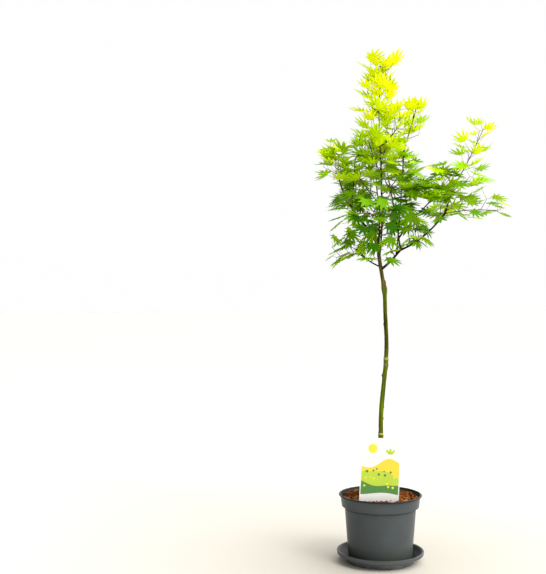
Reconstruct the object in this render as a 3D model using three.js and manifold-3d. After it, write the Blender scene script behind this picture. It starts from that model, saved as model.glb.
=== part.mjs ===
// A young golden Japanese maple, grafted on a clear stem, in a round nursery pot that stands
// in a saucer, with a plant label pushed into the compost.
//
// Millimetres, +Z up, -Y towards the viewer. The origin is the centre of the saucer's flat
// underside. A limb or a spray is given by the wood that it leaves, by the height or the tip
// where it leaves it, and by where its own tip ends. A seeded rule then sets twigs and leaves.

import * as THREE from "three";
import { mergeVertices } from "three/addons/utils/BufferGeometryUtils.js";
import Module from "manifold-3d";

const wasm = await Module();
wasm.setup();

// Gap that neighbouring pieces keep, and the sides of the turned pieces
const CLEAR = 0.3;
const ROUND = 32;

// Saucer: radii of its foot, of the flank's top and of the rolled lip, and heights
const SAUCER = { foot: 104, flank: 120, lip: 136, height: 35, lipDepth: 13, floor: 3 };

// Pot: a tapered body, a collar that steps out, and a narrow lip
const POT = {
  stand: SAUCER.floor + CLEAR,
  top: 210,
  foot: 99,
  shoulder: 112,
  collarFoot: 121,
  collarTop: 125,
  lip: 130,
  lipDepth: 5,
  collarDepth: 39,
  wall: 2.6,
  floor: 4,
};

// Compost: the height of its middle and of its edge at the pot's wall, and the radius of the
// level place where the stem stands
const COMPOST = { top: 202.5, edgeTop: 199.5, level: 24 };

// Label: a plastic card over the compost, on a spike that is pushed into it
const LABEL = {
  width: 121,
  height: 197,
  thick: 1,
  corner: 4,
  foot: 199,
  spikeWidth: 26,
  spikeLength: 38,
  out: -84,
  aside: -14,
  leanBack: 4,
  leanRight: 3.3,
};

// Stem: the bends that it sways between, as height, right and back, and its radii
const STEM = {
  ground: COMPOST.top + CLEAR,
  bends: [
    [COMPOST.top + CLEAR, 0, 0],
    [430, 2, 0],
    [675, 20, 3],
    [810, 15, 0],
    [1000, -7, 0],
    [1062, 8, 2],
    [1180, 4, 3],
    [1400, -4, 0],
  ],
  footRadius: 8,
  forkRadius: 5.6,
  forkHeight: 1004,
  leaderRadius: 3.4,
  tipRadius: 1.9,
  forkBelow: 8,
  forkAbove: 18,
  flare: 5.5,
  flareHeight: 14,
  flareLobes: 4,
  lobeDepth: 0.3,
  sides: 7,
  steps: 44,
};
// Swellings on the stem: height, how far they stand out, and half their length
const SWELLINGS = [
  [398, 0.7, 7],
  [634, 0.9, 8],
  [853, 2.6, 16],
];

const LIMB = { sides: 6, steps: 5, knuckle: 0.4, knuckleLength: 0.06 };
const TWIG = { sides: 3, radius: 1.8, tip: 1.4, stalk: 0.45, steps: 3 };

// Limbs: the wood each leaves, at a height of the stem or a share of a limb's length, its own
// tip, how far it bows under a straight line, and its radii
const LIMBS = [
  { name: "right_bough", on: "stem", height: 914, tip: [63, -5, 976], bow: 4, radii: [4.2, 3.3] },
  { name: "right_arm", on: "right_bough", at: 1, tip: [200, -15, 1088], bow: 16, radii: [3.1, 2.5] },
  { name: "right_shoot", on: "right_arm", at: 1, tip: [236, -22, 1188], bow: -4, radii: [2.3, 1.8] },
  { name: "right_riser", on: "right_bough", at: 1, tip: [30, 28, 1198], bow: -8, radii: [2.7, 1.9] },
  { name: "tall_riser", on: "right_bough", at: 0.8, tip: [70, -42, 1292], bow: 10, radii: [2.6, 1.7] },
  { name: "shoulder_bough", on: "right_riser", at: 0.15, tip: [176, -34, 1150], bow: -5, radii: [2.2, 1.8] },
  { name: "left_bough", on: "stem", height: 990, tip: [-104, -4, 1124], bow: -5, radii: [4, 2.8] },
  { name: "left_riser", on: "left_bough", at: 1, tip: [-134, 8, 1216], bow: 5, radii: [2.5, 1.9] },
  { name: "left_whip", on: "left_bough", at: 0.85, tip: [-82, -34, 1258], bow: 4, radii: [2, 1.6] },
  { name: "low_left_bough", on: "stem", height: 922, tip: [-62, -26, 958], bow: 3, radii: [2.4, 1.9] },
  { name: "front_bough", on: "stem", height: 962, tip: [-14, -104, 1072], bow: 6, radii: [3, 2.2] },
  { name: "back_bough", on: "stem", height: 946, tip: [18, 108, 1058], bow: 6, radii: [3.2, 2.4] },
  { name: "back_riser", on: "back_bough", at: 1, tip: [2, 138, 1196], bow: 4, radii: [2.3, 1.8] },
];

// How a shoot grows, where a spray doesn't say otherwise: how far it bows, its pairs of leaves,
// where its buds begin and end, the size of its youngest leaf, the share of buds that are side
// twigs and their pairs of leaves, and how many attitudes a leaf tries
const SHOOT = {
  bow: -8,
  pairs: 3,
  bare: 0.15,
  last: 0.98,
  young: 0.72,
  side: 0.1,
  sidePairs: 1,
  attempts: 8,
};

// How a bud sets its leaf: the turn from one pair to the next and its sway, in degrees, how far
// the stalk leans along the shoot and up, and its length and the blade's as shares of a leaf
const BUD = { turn: 90, sway: 18, forward: [0.35, 0.8], up: 0.4, stalk: [0.5, 0.8], blade: [0.9, 1.1] };
// A side twig's length as a share of its shoot's, and the share that its leaves have in size
const SIDE_TWIG = { reach: [0.3, 0.42], leaf: 0.88 };

// Sprays: the wood each leaves, and where, its tip, the length of its leaves, and the number
// that starts its random turns
const SPRAYS = [
  { name: "crown_tip", on: "stem", height: 1399, tip: [0, -4, 1552],
    leaf: 52, seed: 1837, bow: 2, pairs: 10, bare: 0, side: 0 },
  { name: "crown_left", on: "stem", height: 1290, tip: [-28, -32, 1392],
    leaf: 60, seed: 2, bow: 8, pairs: 4 },
  { name: "crown_right", on: "stem", height: 1300, tip: [64, -22, 1376],
    leaf: 58, seed: 538, bow: 8, pairs: 4 },
  { name: "crown_back", on: "stem", height: 1240, tip: [32, 86, 1354],
    leaf: 58, seed: 14332, bow: 8, side: 0 },
  { name: "crown_front", on: "stem", height: 1212, tip: [-42, -80, 1298], leaf: 58, seed: 866, bow: 8 },
  { name: "heart_left", on: "stem", height: 1110, tip: [-84, -46, 1218], leaf: 54, seed: 438, bow: 6 },
  { name: "heart_right", on: "stem", height: 1150, tip: [70, -40, 1222],
    leaf: 58, seed: 14191, bow: 6 },
  { name: "heart_low", on: "right_riser", at: 0.5, tip: [52, -50, 1096], leaf: 58, seed: 42, pairs: 4 },
  { name: "upper_right", on: "tall_riser", at: 1, tip: [104, -54, 1408],
    leaf: 44, seed: 14769, bow: 4, pairs: 5 },
  { name: "middle_right", on: "tall_riser", at: 0.9, tip: [60, -62, 1240],
    leaf: 50, seed: 25, side: 0 },
  { name: "arm_tip", on: "right_shoot", at: 1, tip: [324, -2, 1356],
    leaf: 48, seed: 659, bow: 6, pairs: 5 },
  { name: "arm_outer", on: "right_shoot", at: 0.6, tip: [272, -38, 1188],
    leaf: 56, seed: 336, pairs: 2, side: 0 },
  { name: "arm_far", on: "right_arm", at: 1, tip: [374, 14, 1098], leaf: 44, seed: 337, pairs: 4 },
  { name: "arm_low", on: "right_arm", at: 0.8, tip: [178, -84, 1084], leaf: 48, seed: 14018 },
  { name: "arm_back", on: "right_arm", at: 0.9, tip: [248, 96, 1118], leaf: 50, seed: 555 },
  { name: "shoulder_top", on: "shoulder_bough", at: 1, tip: [188, -74, 1166],
    leaf: 60, seed: 122, pairs: 5 },
  { name: "shoulder_left", on: "shoulder_bough", at: 0.8, tip: [116, -100, 1148],
    leaf: 58, seed: 665, pairs: 4 },
  { name: "shoulder_low", on: "shoulder_bough", at: 0.6, tip: [178, -68, 1132],
    leaf: 46, seed: 14418, pairs: 2 },
  { name: "low_right", on: "right_arm", at: 0.3, tip: [116, -56, 1010], leaf: 48, seed: 185 },
  { name: "low_right_back", on: "right_arm", at: 0.15, tip: [120, 92, 1028], leaf: 48, seed: 200 },
  { name: "low_front", on: "right_bough", at: 0.7, tip: [12, -66, 988], leaf: 44, seed: 656, pairs: 2 },
  { name: "centre_right", on: "right_riser", at: 0.85, tip: [112, 22, 1188], leaf: 56, seed: 954 },
  { name: "centre_top", on: "right_riser", at: 1, tip: [20, 66, 1302], leaf: 60, seed: 988, bow: 4 },
  { name: "left_upper", on: "left_riser", at: 1, tip: [-130, -14, 1268],
    leaf: 58, seed: 14640, bow: 6 },
  { name: "left_middle", on: "left_riser", at: 0.7, tip: [-144, -56, 1214], leaf: 56, seed: 519 },
  { name: "left_crest", on: "left_whip", at: 1, tip: [-48, -36, 1300], leaf: 52, seed: 837, bow: 3 },
  { name: "left_inner", on: "left_bough", at: 0.7, tip: [-100, -80, 1078], leaf: 50, seed: 15183 },
  { name: "left_back", on: "left_bough", at: 0.9, tip: [-84, 88, 1150], leaf: 52, seed: 404 },
  { name: "low_left", on: "low_left_bough", at: 1, tip: [-140, -28, 950],
    leaf: 42, seed: 15041, side: 0 },
  { name: "low_left_near", on: "low_left_bough", at: 0.5, tip: [-16, -64, 944],
    leaf: 52, seed: 84, pairs: 1 },
  { name: "low_left_back", on: "low_left_bough", at: 0.8, tip: [-94, 64, 988], leaf: 42, seed: 1219 },
  { name: "front_low", on: "front_bough", at: 0.9, tip: [-48, -182, 1068], leaf: 50, seed: 644 },
  { name: "front_top", on: "front_bough", at: 1, tip: [24, -126, 1164],
    leaf: 48, seed: 1257, bow: 4, side: 0 },
  { name: "back_low", on: "back_bough", at: 0.9, tip: [30, 208, 1064], leaf: 54, seed: 723 },
  { name: "back_left", on: "back_riser", at: 0.8, tip: [-72, 160, 1180], leaf: 54, seed: 647 },
  { name: "back_top", on: "back_riser", at: 1, tip: [4, 146, 1316],
    leaf: 54, seed: 15732, bow: 3, side: 0 },
];

// Leaf: angle from the middle lobe and reach of each lobe's tip, from the middle lobe to the
// lowest, the reach of the notches against the next tip, all as shares of the leaf's length,
// and the number of notches on a side
const LOBES = [
  { angle: 0, tip: 1 },
  { angle: 36, tip: 0.96 },
  { angle: 72, tip: 0.84 },
  { angle: 112, tip: 0.62 },
];
const NOTCH = 0.5;
const NOTCHES = 2;
const LEAF = { thick: 0.06 };
// How far the tips of the lobes hang under the level low in the crown, and rise over it high up,
// as a share of the leaf's length
const BOWL = {
  low: { height: 980, rise: -0.12 },
  high: { height: 1280, rise: 0.36 },
};
// How far the blades rise over the level, in degrees, low in the crown and at its top, and how
// much they differ: in degrees along the middle lobe, and as a slope across it
const LIFT = {
  low: { height: 950, angle: -20 },
  high: { height: 1550, angle: 20 },
  spread: 18,
  roll: 0.6,
};

const UP = new THREE.Vector3(0, 0, 1);
const ACROSS = new THREE.Vector3(1, 0, 0);
// A line that climbs more steeply than this takes its sides from the X axis, not from Z.
const STEEP = 0.8;
const vector = (at) => new THREE.Vector3(...at);
const radians = THREE.MathUtils.degToRad;

// A closed geometry as a solid that can be joined and cut.
function solid(geometry) {
  const bare = geometry.index ? geometry.toNonIndexed() : geometry.clone();
  bare.deleteAttribute("normal");
  bare.deleteAttribute("uv");
  const merged = mergeVertices(bare, 1e-4);
  const vertProperties = merged.attributes.position.array;
  const triVerts = new Uint32Array(merged.index.array);
  return new wasm.Manifold(new wasm.Mesh({ numProp: 3, vertProperties, triVerts }));
}

// A solid as a geometry.
function geometryOf(made) {
  const mesh = made.getMesh();
  const geometry = new THREE.BufferGeometry();
  geometry.setAttribute("position", new THREE.BufferAttribute(mesh.vertProperties, 3));
  geometry.setIndex(new THREE.BufferAttribute(mesh.triVerts, 1));
  geometry.computeVertexNormals();
  return geometry;
}

// A profile of [radius, height] pairs turned about the Z axis.
function turned(profile) {
  const points = profile.map(([radius, height]) => new THREE.Vector2(radius, height));
  return new THREE.LatheGeometry(points, ROUND).rotateX(Math.PI / 2);
}

function saucerGeometry() {
  const s = SAUCER;
  const lipFoot = s.height - s.lipDepth;
  return turned([
    [0, 0],
    [s.foot, 0],
    [s.foot + 3, 2],
    [s.flank, lipFoot - 1],
    [s.lip - 6, lipFoot],
    [s.lip - 1, lipFoot + 4],
    [s.lip, s.height - 5],
    [s.lip - 2, s.height - 1],
    [s.lip - 5, s.height],
    [s.lip - 9, s.height - 2],
    [s.flank + 1, lipFoot + 1],
    [s.foot + 3, s.floor + 3],
    [s.foot - 1, s.floor],
    [0, s.floor],
  ]);
}

function potGeometry() {
  const p = POT;
  const collarFoot = p.top - p.collarDepth;
  const lipFoot = p.top - p.lipDepth;
  return turned([
    [0, p.stand],
    [p.foot - 2, p.stand],
    [p.foot, p.stand + 3],
    [p.shoulder, collarFoot - 3],
    [p.shoulder, collarFoot],
    [p.collarFoot, collarFoot + 3],
    [p.collarTop, lipFoot],
    [p.lip, lipFoot + 1],
    [p.lip, p.top - 1],
    [p.lip - 2, p.top],
    [p.collarTop - p.wall, p.top],
    [p.collarFoot - p.wall, collarFoot + 3],
    [p.shoulder - p.wall, collarFoot],
    [p.foot - p.wall, p.stand + p.floor + 2],
    [p.foot - p.wall - 3, p.stand + p.floor],
    [0, p.stand + p.floor],
  ]);
}

// The compost fills the pot up to a level just under the rim.
function compostGeometry() {
  const p = POT;
  const inside = p.wall + CLEAR * 1.5;
  const collarFoot = p.top - p.collarDepth;
  const rise = (COMPOST.edgeTop - collarFoot - 3) / (p.collarDepth - 3);
  const edge = p.collarFoot + rise * (p.collarTop - p.collarFoot) - inside;
  return turned([
    [0, p.stand + p.floor + CLEAR],
    [p.foot - inside - 3, p.stand + p.floor + CLEAR],
    [p.shoulder - inside, collarFoot],
    [p.collarFoot - inside, collarFoot + 4],
    [edge, COMPOST.edgeTop],
    [COMPOST.level, COMPOST.top],
    [0, COMPOST.top],
  ]);
}

// The label, or with a margin the slot that its spike stands in.
function labelGeometry(margin) {
  const l = LABEL;
  const right = l.width / 2 + margin;
  const spike = l.spikeWidth / 2 + margin;
  const top = l.height + margin;
  const card = new THREE.Shape()
    .moveTo(0, -l.spikeLength - margin)
    .lineTo(spike, -l.spikeLength / 2)
    .lineTo(spike, -margin)
    .lineTo(right, -margin)
    .lineTo(right, top - l.corner)
    .lineTo(right - l.corner, top)
    .lineTo(l.corner - right, top)
    .lineTo(-right, top - l.corner)
    .lineTo(-right, -margin)
    .lineTo(-spike, -margin)
    .lineTo(-spike, -l.spikeLength / 2)
    .closePath();
  const thick = l.thick + 2 * margin;
  const geometry = new THREE.ExtrudeGeometry(card, { depth: thick, bevelEnabled: false });
  geometry.translate(0, 0, -thick / 2).rotateX(Math.PI / 2 - radians(l.leanBack));
  return geometry.rotateY(radians(l.leanRight)).translate(l.aside, l.out, l.foot);
}

// The directions across a line that runs along the tangent.
function across(tangent, reference) {
  const side = new THREE.Vector3().crossVectors(tangent, reference).normalize();
  const over = new THREE.Vector3().crossVectors(side, tangent);
  return { side, over };
}

// A closed tapering tube along a curve: a cylinder, bent. A margin makes it fatter and longer.
function tubeGeometry(curve, radiusAt, sides, steps, margin = 0) {
  const geometry = new THREE.CylinderGeometry(1, 1, 1, sides, steps);
  const chord = curve.getPoint(1).sub(curve.getPoint(0)).normalize();
  const reference = Math.abs(chord.z) > STEEP ? ACROSS : UP;
  const at = geometry.attributes.position;
  for (let i = 0; i < at.count; i++) {
    const t = at.getY(i) + 0.5;
    const tangent = curve.getTangent(t);
    const { side, over } = across(tangent, reference);
    const radius = radiusAt(t, Math.atan2(at.getZ(i), at.getX(i))) + margin;
    const point = curve.getPoint(t).addScaledVector(tangent, Math.round(2 * t - 1) * margin);
    point.addScaledVector(side, at.getX(i) * radius);
    point.addScaledVector(over, at.getZ(i) * radius);
    at.setXYZ(i, point.x, point.y, point.z);
  }
  return geometry;
}

// A curve from root to tip that sags under the straight line by the bow.
function bowed(root, tip, bow) {
  const middle = root.clone().lerp(tip, 0.5).addScaledVector(UP, -2 * bow);
  return new THREE.QuadraticBezierCurve3(root, middle, tip);
}

// The stem's line: it sways smoothly from each bend to the next.
class StemCurve extends THREE.Curve {
  getPoint(t, target = new THREE.Vector3()) {
    const { bends } = STEM;
    const z = THREE.MathUtils.lerp(bends[0][0], bends.at(-1)[0], t);
    const i = Math.max(1, bends.findIndex(([height]) => height >= z));
    const share = THREE.MathUtils.smoothstep(z, bends[i - 1][0], bends[i][0]);
    const [x, y] = [1, 2].map((k) => THREE.MathUtils.lerp(bends[i - 1][k], bends[i][k], share));
    return target.set(x, y, z);
  }
}
const stemCurve = new StemCurve();

// The stem's point at a height.
function stemAt(height) {
  const { bends } = STEM;
  return stemCurve.getPoint(THREE.MathUtils.inverseLerp(bends[0][0], bends.at(-1)[0], height));
}

// The stem's radius: a slow taper, a quick one past the fork, root flare and swellings.
function stemRadius(t, turn) {
  const s = STEM;
  const { z } = stemCurve.getPoint(t);
  const lower = THREE.MathUtils.mapLinear(z, s.ground, s.forkHeight, s.footRadius, s.forkRadius);
  const tipHeight = s.bends.at(-1)[0];
  const upper = THREE.MathUtils.mapLinear(z, s.forkHeight, tipHeight, s.leaderRadius, s.tipRadius);
  const past = THREE.MathUtils.smoothstep(z, s.forkHeight - s.forkBelow, s.forkHeight + s.forkAbove);
  const lobes = 1 + s.lobeDepth * Math.cos(s.flareLobes * turn);
  const flare = s.flare * Math.exp((s.ground - z) / s.flareHeight) * lobes;
  const swelling = SWELLINGS.reduce(
    (sum, [height, out, half]) => sum + out * Math.exp(-(((z - height) / half) ** 2)),
    0,
  );
  return THREE.MathUtils.lerp(lower, upper, past) + flare + swelling;
}

// The lines of the stem and the limbs, by name.
const lines = new Map([["stem", stemCurve]]);
// All wood so far, grown by the clearance, and after it the finished sprays: nothing new may
// grow into either.
const standing = [];

const boxed = (made) => ({ made, box: made.boundingBox() });
const near = (a, b) =>
  [0, 1, 2].every((i) => a.box.min[i] <= b.box.max[i] && b.box.min[i] <= a.box.max[i]);

function keep(made) {
  standing.push(boxed(made));
  return made;
}

function touches(made, others) {
  const one = boxed(made);
  return others.some((other) => near(one, other) && !made.intersect(other.made).isEmpty());
}

// New wood, cut back to what stands already. Of its pieces only the largest is kept.
function cutBack(made) {
  const one = boxed(made);
  const met = standing.filter((other) => near(one, other));
  const rest = met.reduce((left, other) => left.subtract(other.made), made);
  return rest.decompose().reduce((most, piece) => (piece.volume() > most.volume() ? piece : most));
}

function stemSolid(margin) {
  return solid(tubeGeometry(stemCurve, stemRadius, STEM.sides, STEM.steps, margin));
}

// A tapering limb that swells to a knuckle at its tip.
function limbSolid(curve, [rootRadius, tipRadius], margin) {
  const radiusAt = (t) => {
    const knuckle = THREE.MathUtils.smoothstep(t, 1 - LIMB.knuckleLength, 1) * LIMB.knuckle;
    return THREE.MathUtils.lerp(rootRadius, tipRadius, t) + knuckle;
  };
  return solid(tubeGeometry(curve, radiusAt, LIMB.sides, LIMB.steps, margin));
}

// The line of a limb or a shoot, from the middle of the wood that it leaves.
function lineOf({ on, height, at, tip, bow }) {
  return bowed(height ? stemAt(height) : lines.get(on).getPoint(at), vector(tip), bow);
}

function makeLimb(limb) {
  const curve = lineOf(limb);
  const made = cutBack(limbSolid(curve, limb.radii, 0));
  keep(limbSolid(curve, limb.radii, CLEAR));
  lines.set(limb.name, curve);
  return made;
}

// Repeatable random numbers between two limits.
function draws(seed) {
  let state = Math.imul(seed, 2654435761) >>> 0;
  return (low, high) => {
    state = (Math.imul(state, 1664525) + 1013904223) >>> 0;
    return low + ((high - low) * state) / 4294967296;
  };
}

// A fan-shaped leaf with pointed lobes: a sphere of two rows, its rim drawn out to the outline.
// It lies in X and Y, with its stalk's end at the origin and its middle lobe along X.
function leafGeometry(length, bowl) {
  const half = [];
  LOBES.forEach(({ angle, tip }, i) => {
    if (i > 0 && i <= NOTCHES) half.push([(LOBES[i - 1].angle + angle) / 2, NOTCH * tip]);
    half.push([angle, tip]);
  });
  const otherHalf = half.slice(1).map(([angle, reach]) => [-angle, reach]);
  const outline = [...otherHalf.reverse(), ...half];
  const geometry = new THREE.SphereGeometry(1, outline.length, 2).rotateX(Math.PI / 2);
  const at = geometry.attributes.position;
  for (let i = 0; i < at.count; i++) {
    const up = Math.round(at.getZ(i));
    const place = Math.atan2(-at.getY(i), -at.getX(i)) / (2 * Math.PI) + 1;
    const [angle, reach] = outline[Math.round(place * outline.length) % outline.length];
    const right = up ? 0 : reach * Math.cos(radians(angle));
    const left = up ? 0 : reach * Math.sin(radians(angle));
    const height = (up * LEAF.thick) / 2 + bowl * (right * right + left * left);
    at.setXYZ(i, right * length, left * length, height * length);
  }
  return geometry;
}

// A straight three-sided stalk.
function stalkSolid(from, to) {
  return solid(tubeGeometry(new THREE.LineCurve3(from, to), () => TWIG.stalk, TWIG.sides, 1));
}

// A blade in its place: its middle lobe runs along the axis, its upper side faces the light.
function bladeSolid({ heel, axis, facing, length }) {
  const { low, high } = BOWL;
  const bowl = THREE.MathUtils.mapLinear(heel.z, low.height, high.height, low.rise, high.rise);
  const blade = leafGeometry(length, THREE.MathUtils.clamp(bowl, low.rise, high.rise));
  const above = facing.clone().addScaledVector(axis, -facing.dot(axis)).normalize();
  const beside = new THREE.Vector3().crossVectors(above, axis);
  const place = new THREE.Matrix4().makeBasis(axis, beside, above).setPosition(heel);
  return solid(blade.applyMatrix4(place));
}

// The buds of a shoot: opposite pairs, each pair turned about a quarter from the last. Each has
// random numbers of its own.
function budsOf(shoot) {
  const buds = [];
  const draw = draws(shoot.seed);
  const start = draw(0, BUD.turn);
  for (let k = 0; k < shoot.pairs; k++) {
    const t = THREE.MathUtils.lerp(shoot.bare, shoot.last, (k + 1) / shoot.pairs);
    const along = shoot.curve.getTangent(t);
    const { side, over } = across(along, Math.abs(along.z) > STEEP ? ACROSS : UP);
    const turn = radians(start + BUD.turn * k + draw(-BUD.sway, BUD.sway));
    const outward = side.multiplyScalar(Math.cos(turn)).addScaledVector(over, Math.sin(turn));
    for (const way of [1, -1]) {
      buds.push({
        node: shoot.curve.getPoint(t),
        along,
        outward: outward.clone().multiplyScalar(way),
        age: 1 - k / shoot.pairs,
        last: k === shoot.pairs - 1,
        seed: (shoot.seed * 8 + k) * 2 + (1 + way) / 2,
      });
    }
  }
  return buds;
}

// The way in which a bud's stalk or twig leaves the shoot.
function wayFrom({ along, outward }, draw) {
  const way = outward.clone().addScaledVector(along, draw(...BUD.forward));
  return way.addScaledVector(UP, draw(0, BUD.up)).normalize();
}

// A bud that has opened as a leaf. Low in the crown the blade hangs, high up it stands.
function leafFrom(bud, shoot, draw) {
  const way = wayFrom(bud, draw);
  const size = draw(...BUD.blade) * THREE.MathUtils.lerp(shoot.young, 1, bud.age);
  const length = shoot.leaf * size;
  const heel = bud.node.clone().addScaledVector(way, length * draw(...BUD.stalk));
  const level = way.clone().setZ(0).normalize();
  const { low, high, spread, roll } = LIFT;
  const lift = THREE.MathUtils.mapLinear(heel.z, low.height, high.height, low.angle, high.angle);
  const rise = radians(lift + draw(-spread, spread));
  const axis = level.clone().multiplyScalar(Math.cos(rise)).addScaledVector(UP, Math.sin(rise));
  const beside = new THREE.Vector3(-level.y, level.x, 0);
  const facing = UP.clone().addScaledVector(beside, draw(-roll, roll));
  return { node: bud.node, heel, axis, facing, length };
}

// A bud that has grown into a side twig.
function twigFrom(bud, shoot, draw) {
  const reach = shoot.curve.getLength() * draw(...SIDE_TWIG.reach);
  const tip = bud.node.clone().addScaledVector(wayFrom(bud, draw), reach);
  const twig = { ...SHOOT, curve: new THREE.LineCurve3(bud.node, tip), steps: 1 };
  const leaf = shoot.leaf * SIDE_TWIG.leaf;
  return { ...twig, pairs: SHOOT.sidePairs, leaf, side: 0, seed: bud.seed };
}

function twigSolid({ curve, steps }, margin = 0) {
  const radiusAt = (t) => THREE.MathUtils.lerp(TWIG.radius, TWIG.tip, t);
  return solid(tubeGeometry(curve, radiusAt, TWIG.sides, steps, margin));
}

// The shoot of a spray. All shoots are set before the first leaf.
function setShoot(spray) {
  const shoot = { ...SHOOT, steps: TWIG.steps, ...spray };
  shoot.curve = lineOf(shoot);
  shoot.made = cutBack(twigSolid(shoot));
  shoot.own = keep(twigSolid(shoot, CLEAR));
  return shoot;
}

// The stalk and blade of a bud, in the first of a few attitudes that touches nothing.
function openLeaf(bud, shoot, made, others) {
  const draw = draws(bud.seed);
  for (let attempt = 0; attempt < SHOOT.attempts; attempt++) {
    const leaf = leafFrom(bud, shoot, draw);
    const stalk = stalkSolid(leaf.node, leaf.heel);
    const blade = bladeSolid(leaf);
    const free = !touches(blade, [...others, boxed(made)]) && !touches(stalk, others);
    if (free) return stalk.add(blade);
  }
  return null;
}

// A shoot with the leaves and side twigs of its buds fused on. A twig that would touch other
// wood or another spray is left off, and so is a leaf that has no room.
function growShoot(shoot, made, others) {
  for (const bud of budsOf(shoot)) {
    const draw = draws(bud.seed + 1000);
    if (!bud.last && draw(0, 1) < shoot.side) {
      const twig = twigFrom(bud, shoot, draw);
      const wanted = twigSolid(twig);
      if (!touches(wanted, others)) made = growShoot(twig, made.add(wanted), others);
    } else {
      const leaf = openLeaf(bud, shoot, made, others);
      if (leaf) made = made.add(leaf);
    }
  }
  return made;
}

function makeSpray(shoot) {
  const made = growShoot(shoot, shoot.made, standing.filter((other) => other.made !== shoot.own));
  return keep(made);
}

// Colours, roughness
const finish = (color, roughness) => new THREE.MeshStandardMaterial({ color, roughness, metalness: 0 });
const LOOKS = {
  plastic: finish("#4b4f50", 0.45),
  compost: finish("#7a3a20", 0.95),
  card: finish("#f4f3ea", 0.35),
  bark: finish("#5f6a24", 0.7),
};
// Leaves run from green inside the crown to gold at its top and tips.
const LOW_LEAF = new THREE.Color("#3f8f1c");
const HIGH_LEAF = new THREE.Color("#e3ee1c");
const leafLook = (height) =>
  finish(LOW_LEAF.clone().lerp(HIGH_LEAF, THREE.MathUtils.smoothstep(height, 1000, 1500)), 0.6);

function named(name, geometry, material) {
  const mesh = new THREE.Mesh(geometry, material);
  mesh.name = name;
  return mesh;
}

const plant = new THREE.Group();
plant.add(named("saucer", saucerGeometry(), LOOKS.plastic));
plant.add(named("pot", potGeometry(), LOOKS.plastic));
const slot = solid(labelGeometry(CLEAR));
plant.add(named("compost", geometryOf(solid(compostGeometry()).subtract(slot)), LOOKS.compost));
plant.add(named("label", labelGeometry(0), LOOKS.card));

keep(stemSolid(CLEAR));
plant.add(named("stem", geometryOf(stemSolid(0)), LOOKS.bark));
for (const limb of LIMBS) plant.add(named(limb.name, geometryOf(makeLimb(limb)), LOOKS.bark));
for (const shoot of SPRAYS.map(setShoot)) {
  plant.add(named(shoot.name, geometryOf(makeSpray(shoot)), leafLook(shoot.tip[2])));
}

export default plant;
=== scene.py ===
"""A young golden Japanese maple on a clear stem, in a nursery pot, dressed for rendering.

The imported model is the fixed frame. Pot, saucer, compost and label are modelled over it. The
crown grows by the same seeded rule as the solids, and is carried on to finer twigs. Metres,
+Z up, -Y towards the viewer.
"""

import logging
import math
from collections.abc import Callable, Iterator, Sequence
from contextlib import contextmanager
from dataclasses import dataclass, field
from enum import Enum
from itertools import pairwise

import bmesh
import bpy
import numpy as np
from mathutils import Matrix, Vector, noise
from mathutils.kdtree import KDTree


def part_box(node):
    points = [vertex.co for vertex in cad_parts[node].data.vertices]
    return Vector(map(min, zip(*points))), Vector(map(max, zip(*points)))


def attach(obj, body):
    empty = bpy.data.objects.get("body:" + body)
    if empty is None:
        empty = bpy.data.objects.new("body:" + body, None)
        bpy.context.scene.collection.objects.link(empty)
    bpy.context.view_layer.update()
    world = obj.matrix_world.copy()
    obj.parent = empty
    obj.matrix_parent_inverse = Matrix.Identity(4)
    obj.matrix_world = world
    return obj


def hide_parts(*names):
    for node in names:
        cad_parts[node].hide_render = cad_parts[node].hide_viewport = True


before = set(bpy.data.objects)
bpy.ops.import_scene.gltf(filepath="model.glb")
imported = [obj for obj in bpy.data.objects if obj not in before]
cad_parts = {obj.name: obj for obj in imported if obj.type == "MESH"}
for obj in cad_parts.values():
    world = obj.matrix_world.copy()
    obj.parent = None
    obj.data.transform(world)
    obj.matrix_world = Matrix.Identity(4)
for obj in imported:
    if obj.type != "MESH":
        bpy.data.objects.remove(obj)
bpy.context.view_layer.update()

log = logging.getLogger("maple")

UP = Vector((0, 0, 1))
ACROSS = Vector((1, 0, 0))
# A line that climbs more steeply than this takes its sides from the X axis, not from Z
STEEP = 0.8

Pair = tuple[float, float]
Triple = tuple[float, float, float]
Colour = tuple[float, float, float]
Profile = list[Pair]
Mesh = tuple[np.ndarray, np.ndarray]
Piece = bpy.types.Object
Socket = bpy.types.NodeSocket
# What goes into a node, a socket to link or a value, by the input's name or number
Inputs = dict[str | int, object]


# Finishes


def paint(colour: Colour | Socket) -> Socket | tuple[float, float, float, float]:
    """A colour or a colour's socket, as a node takes it."""
    return colour if isinstance(colour, Socket) else (*colour, 1)


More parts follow.
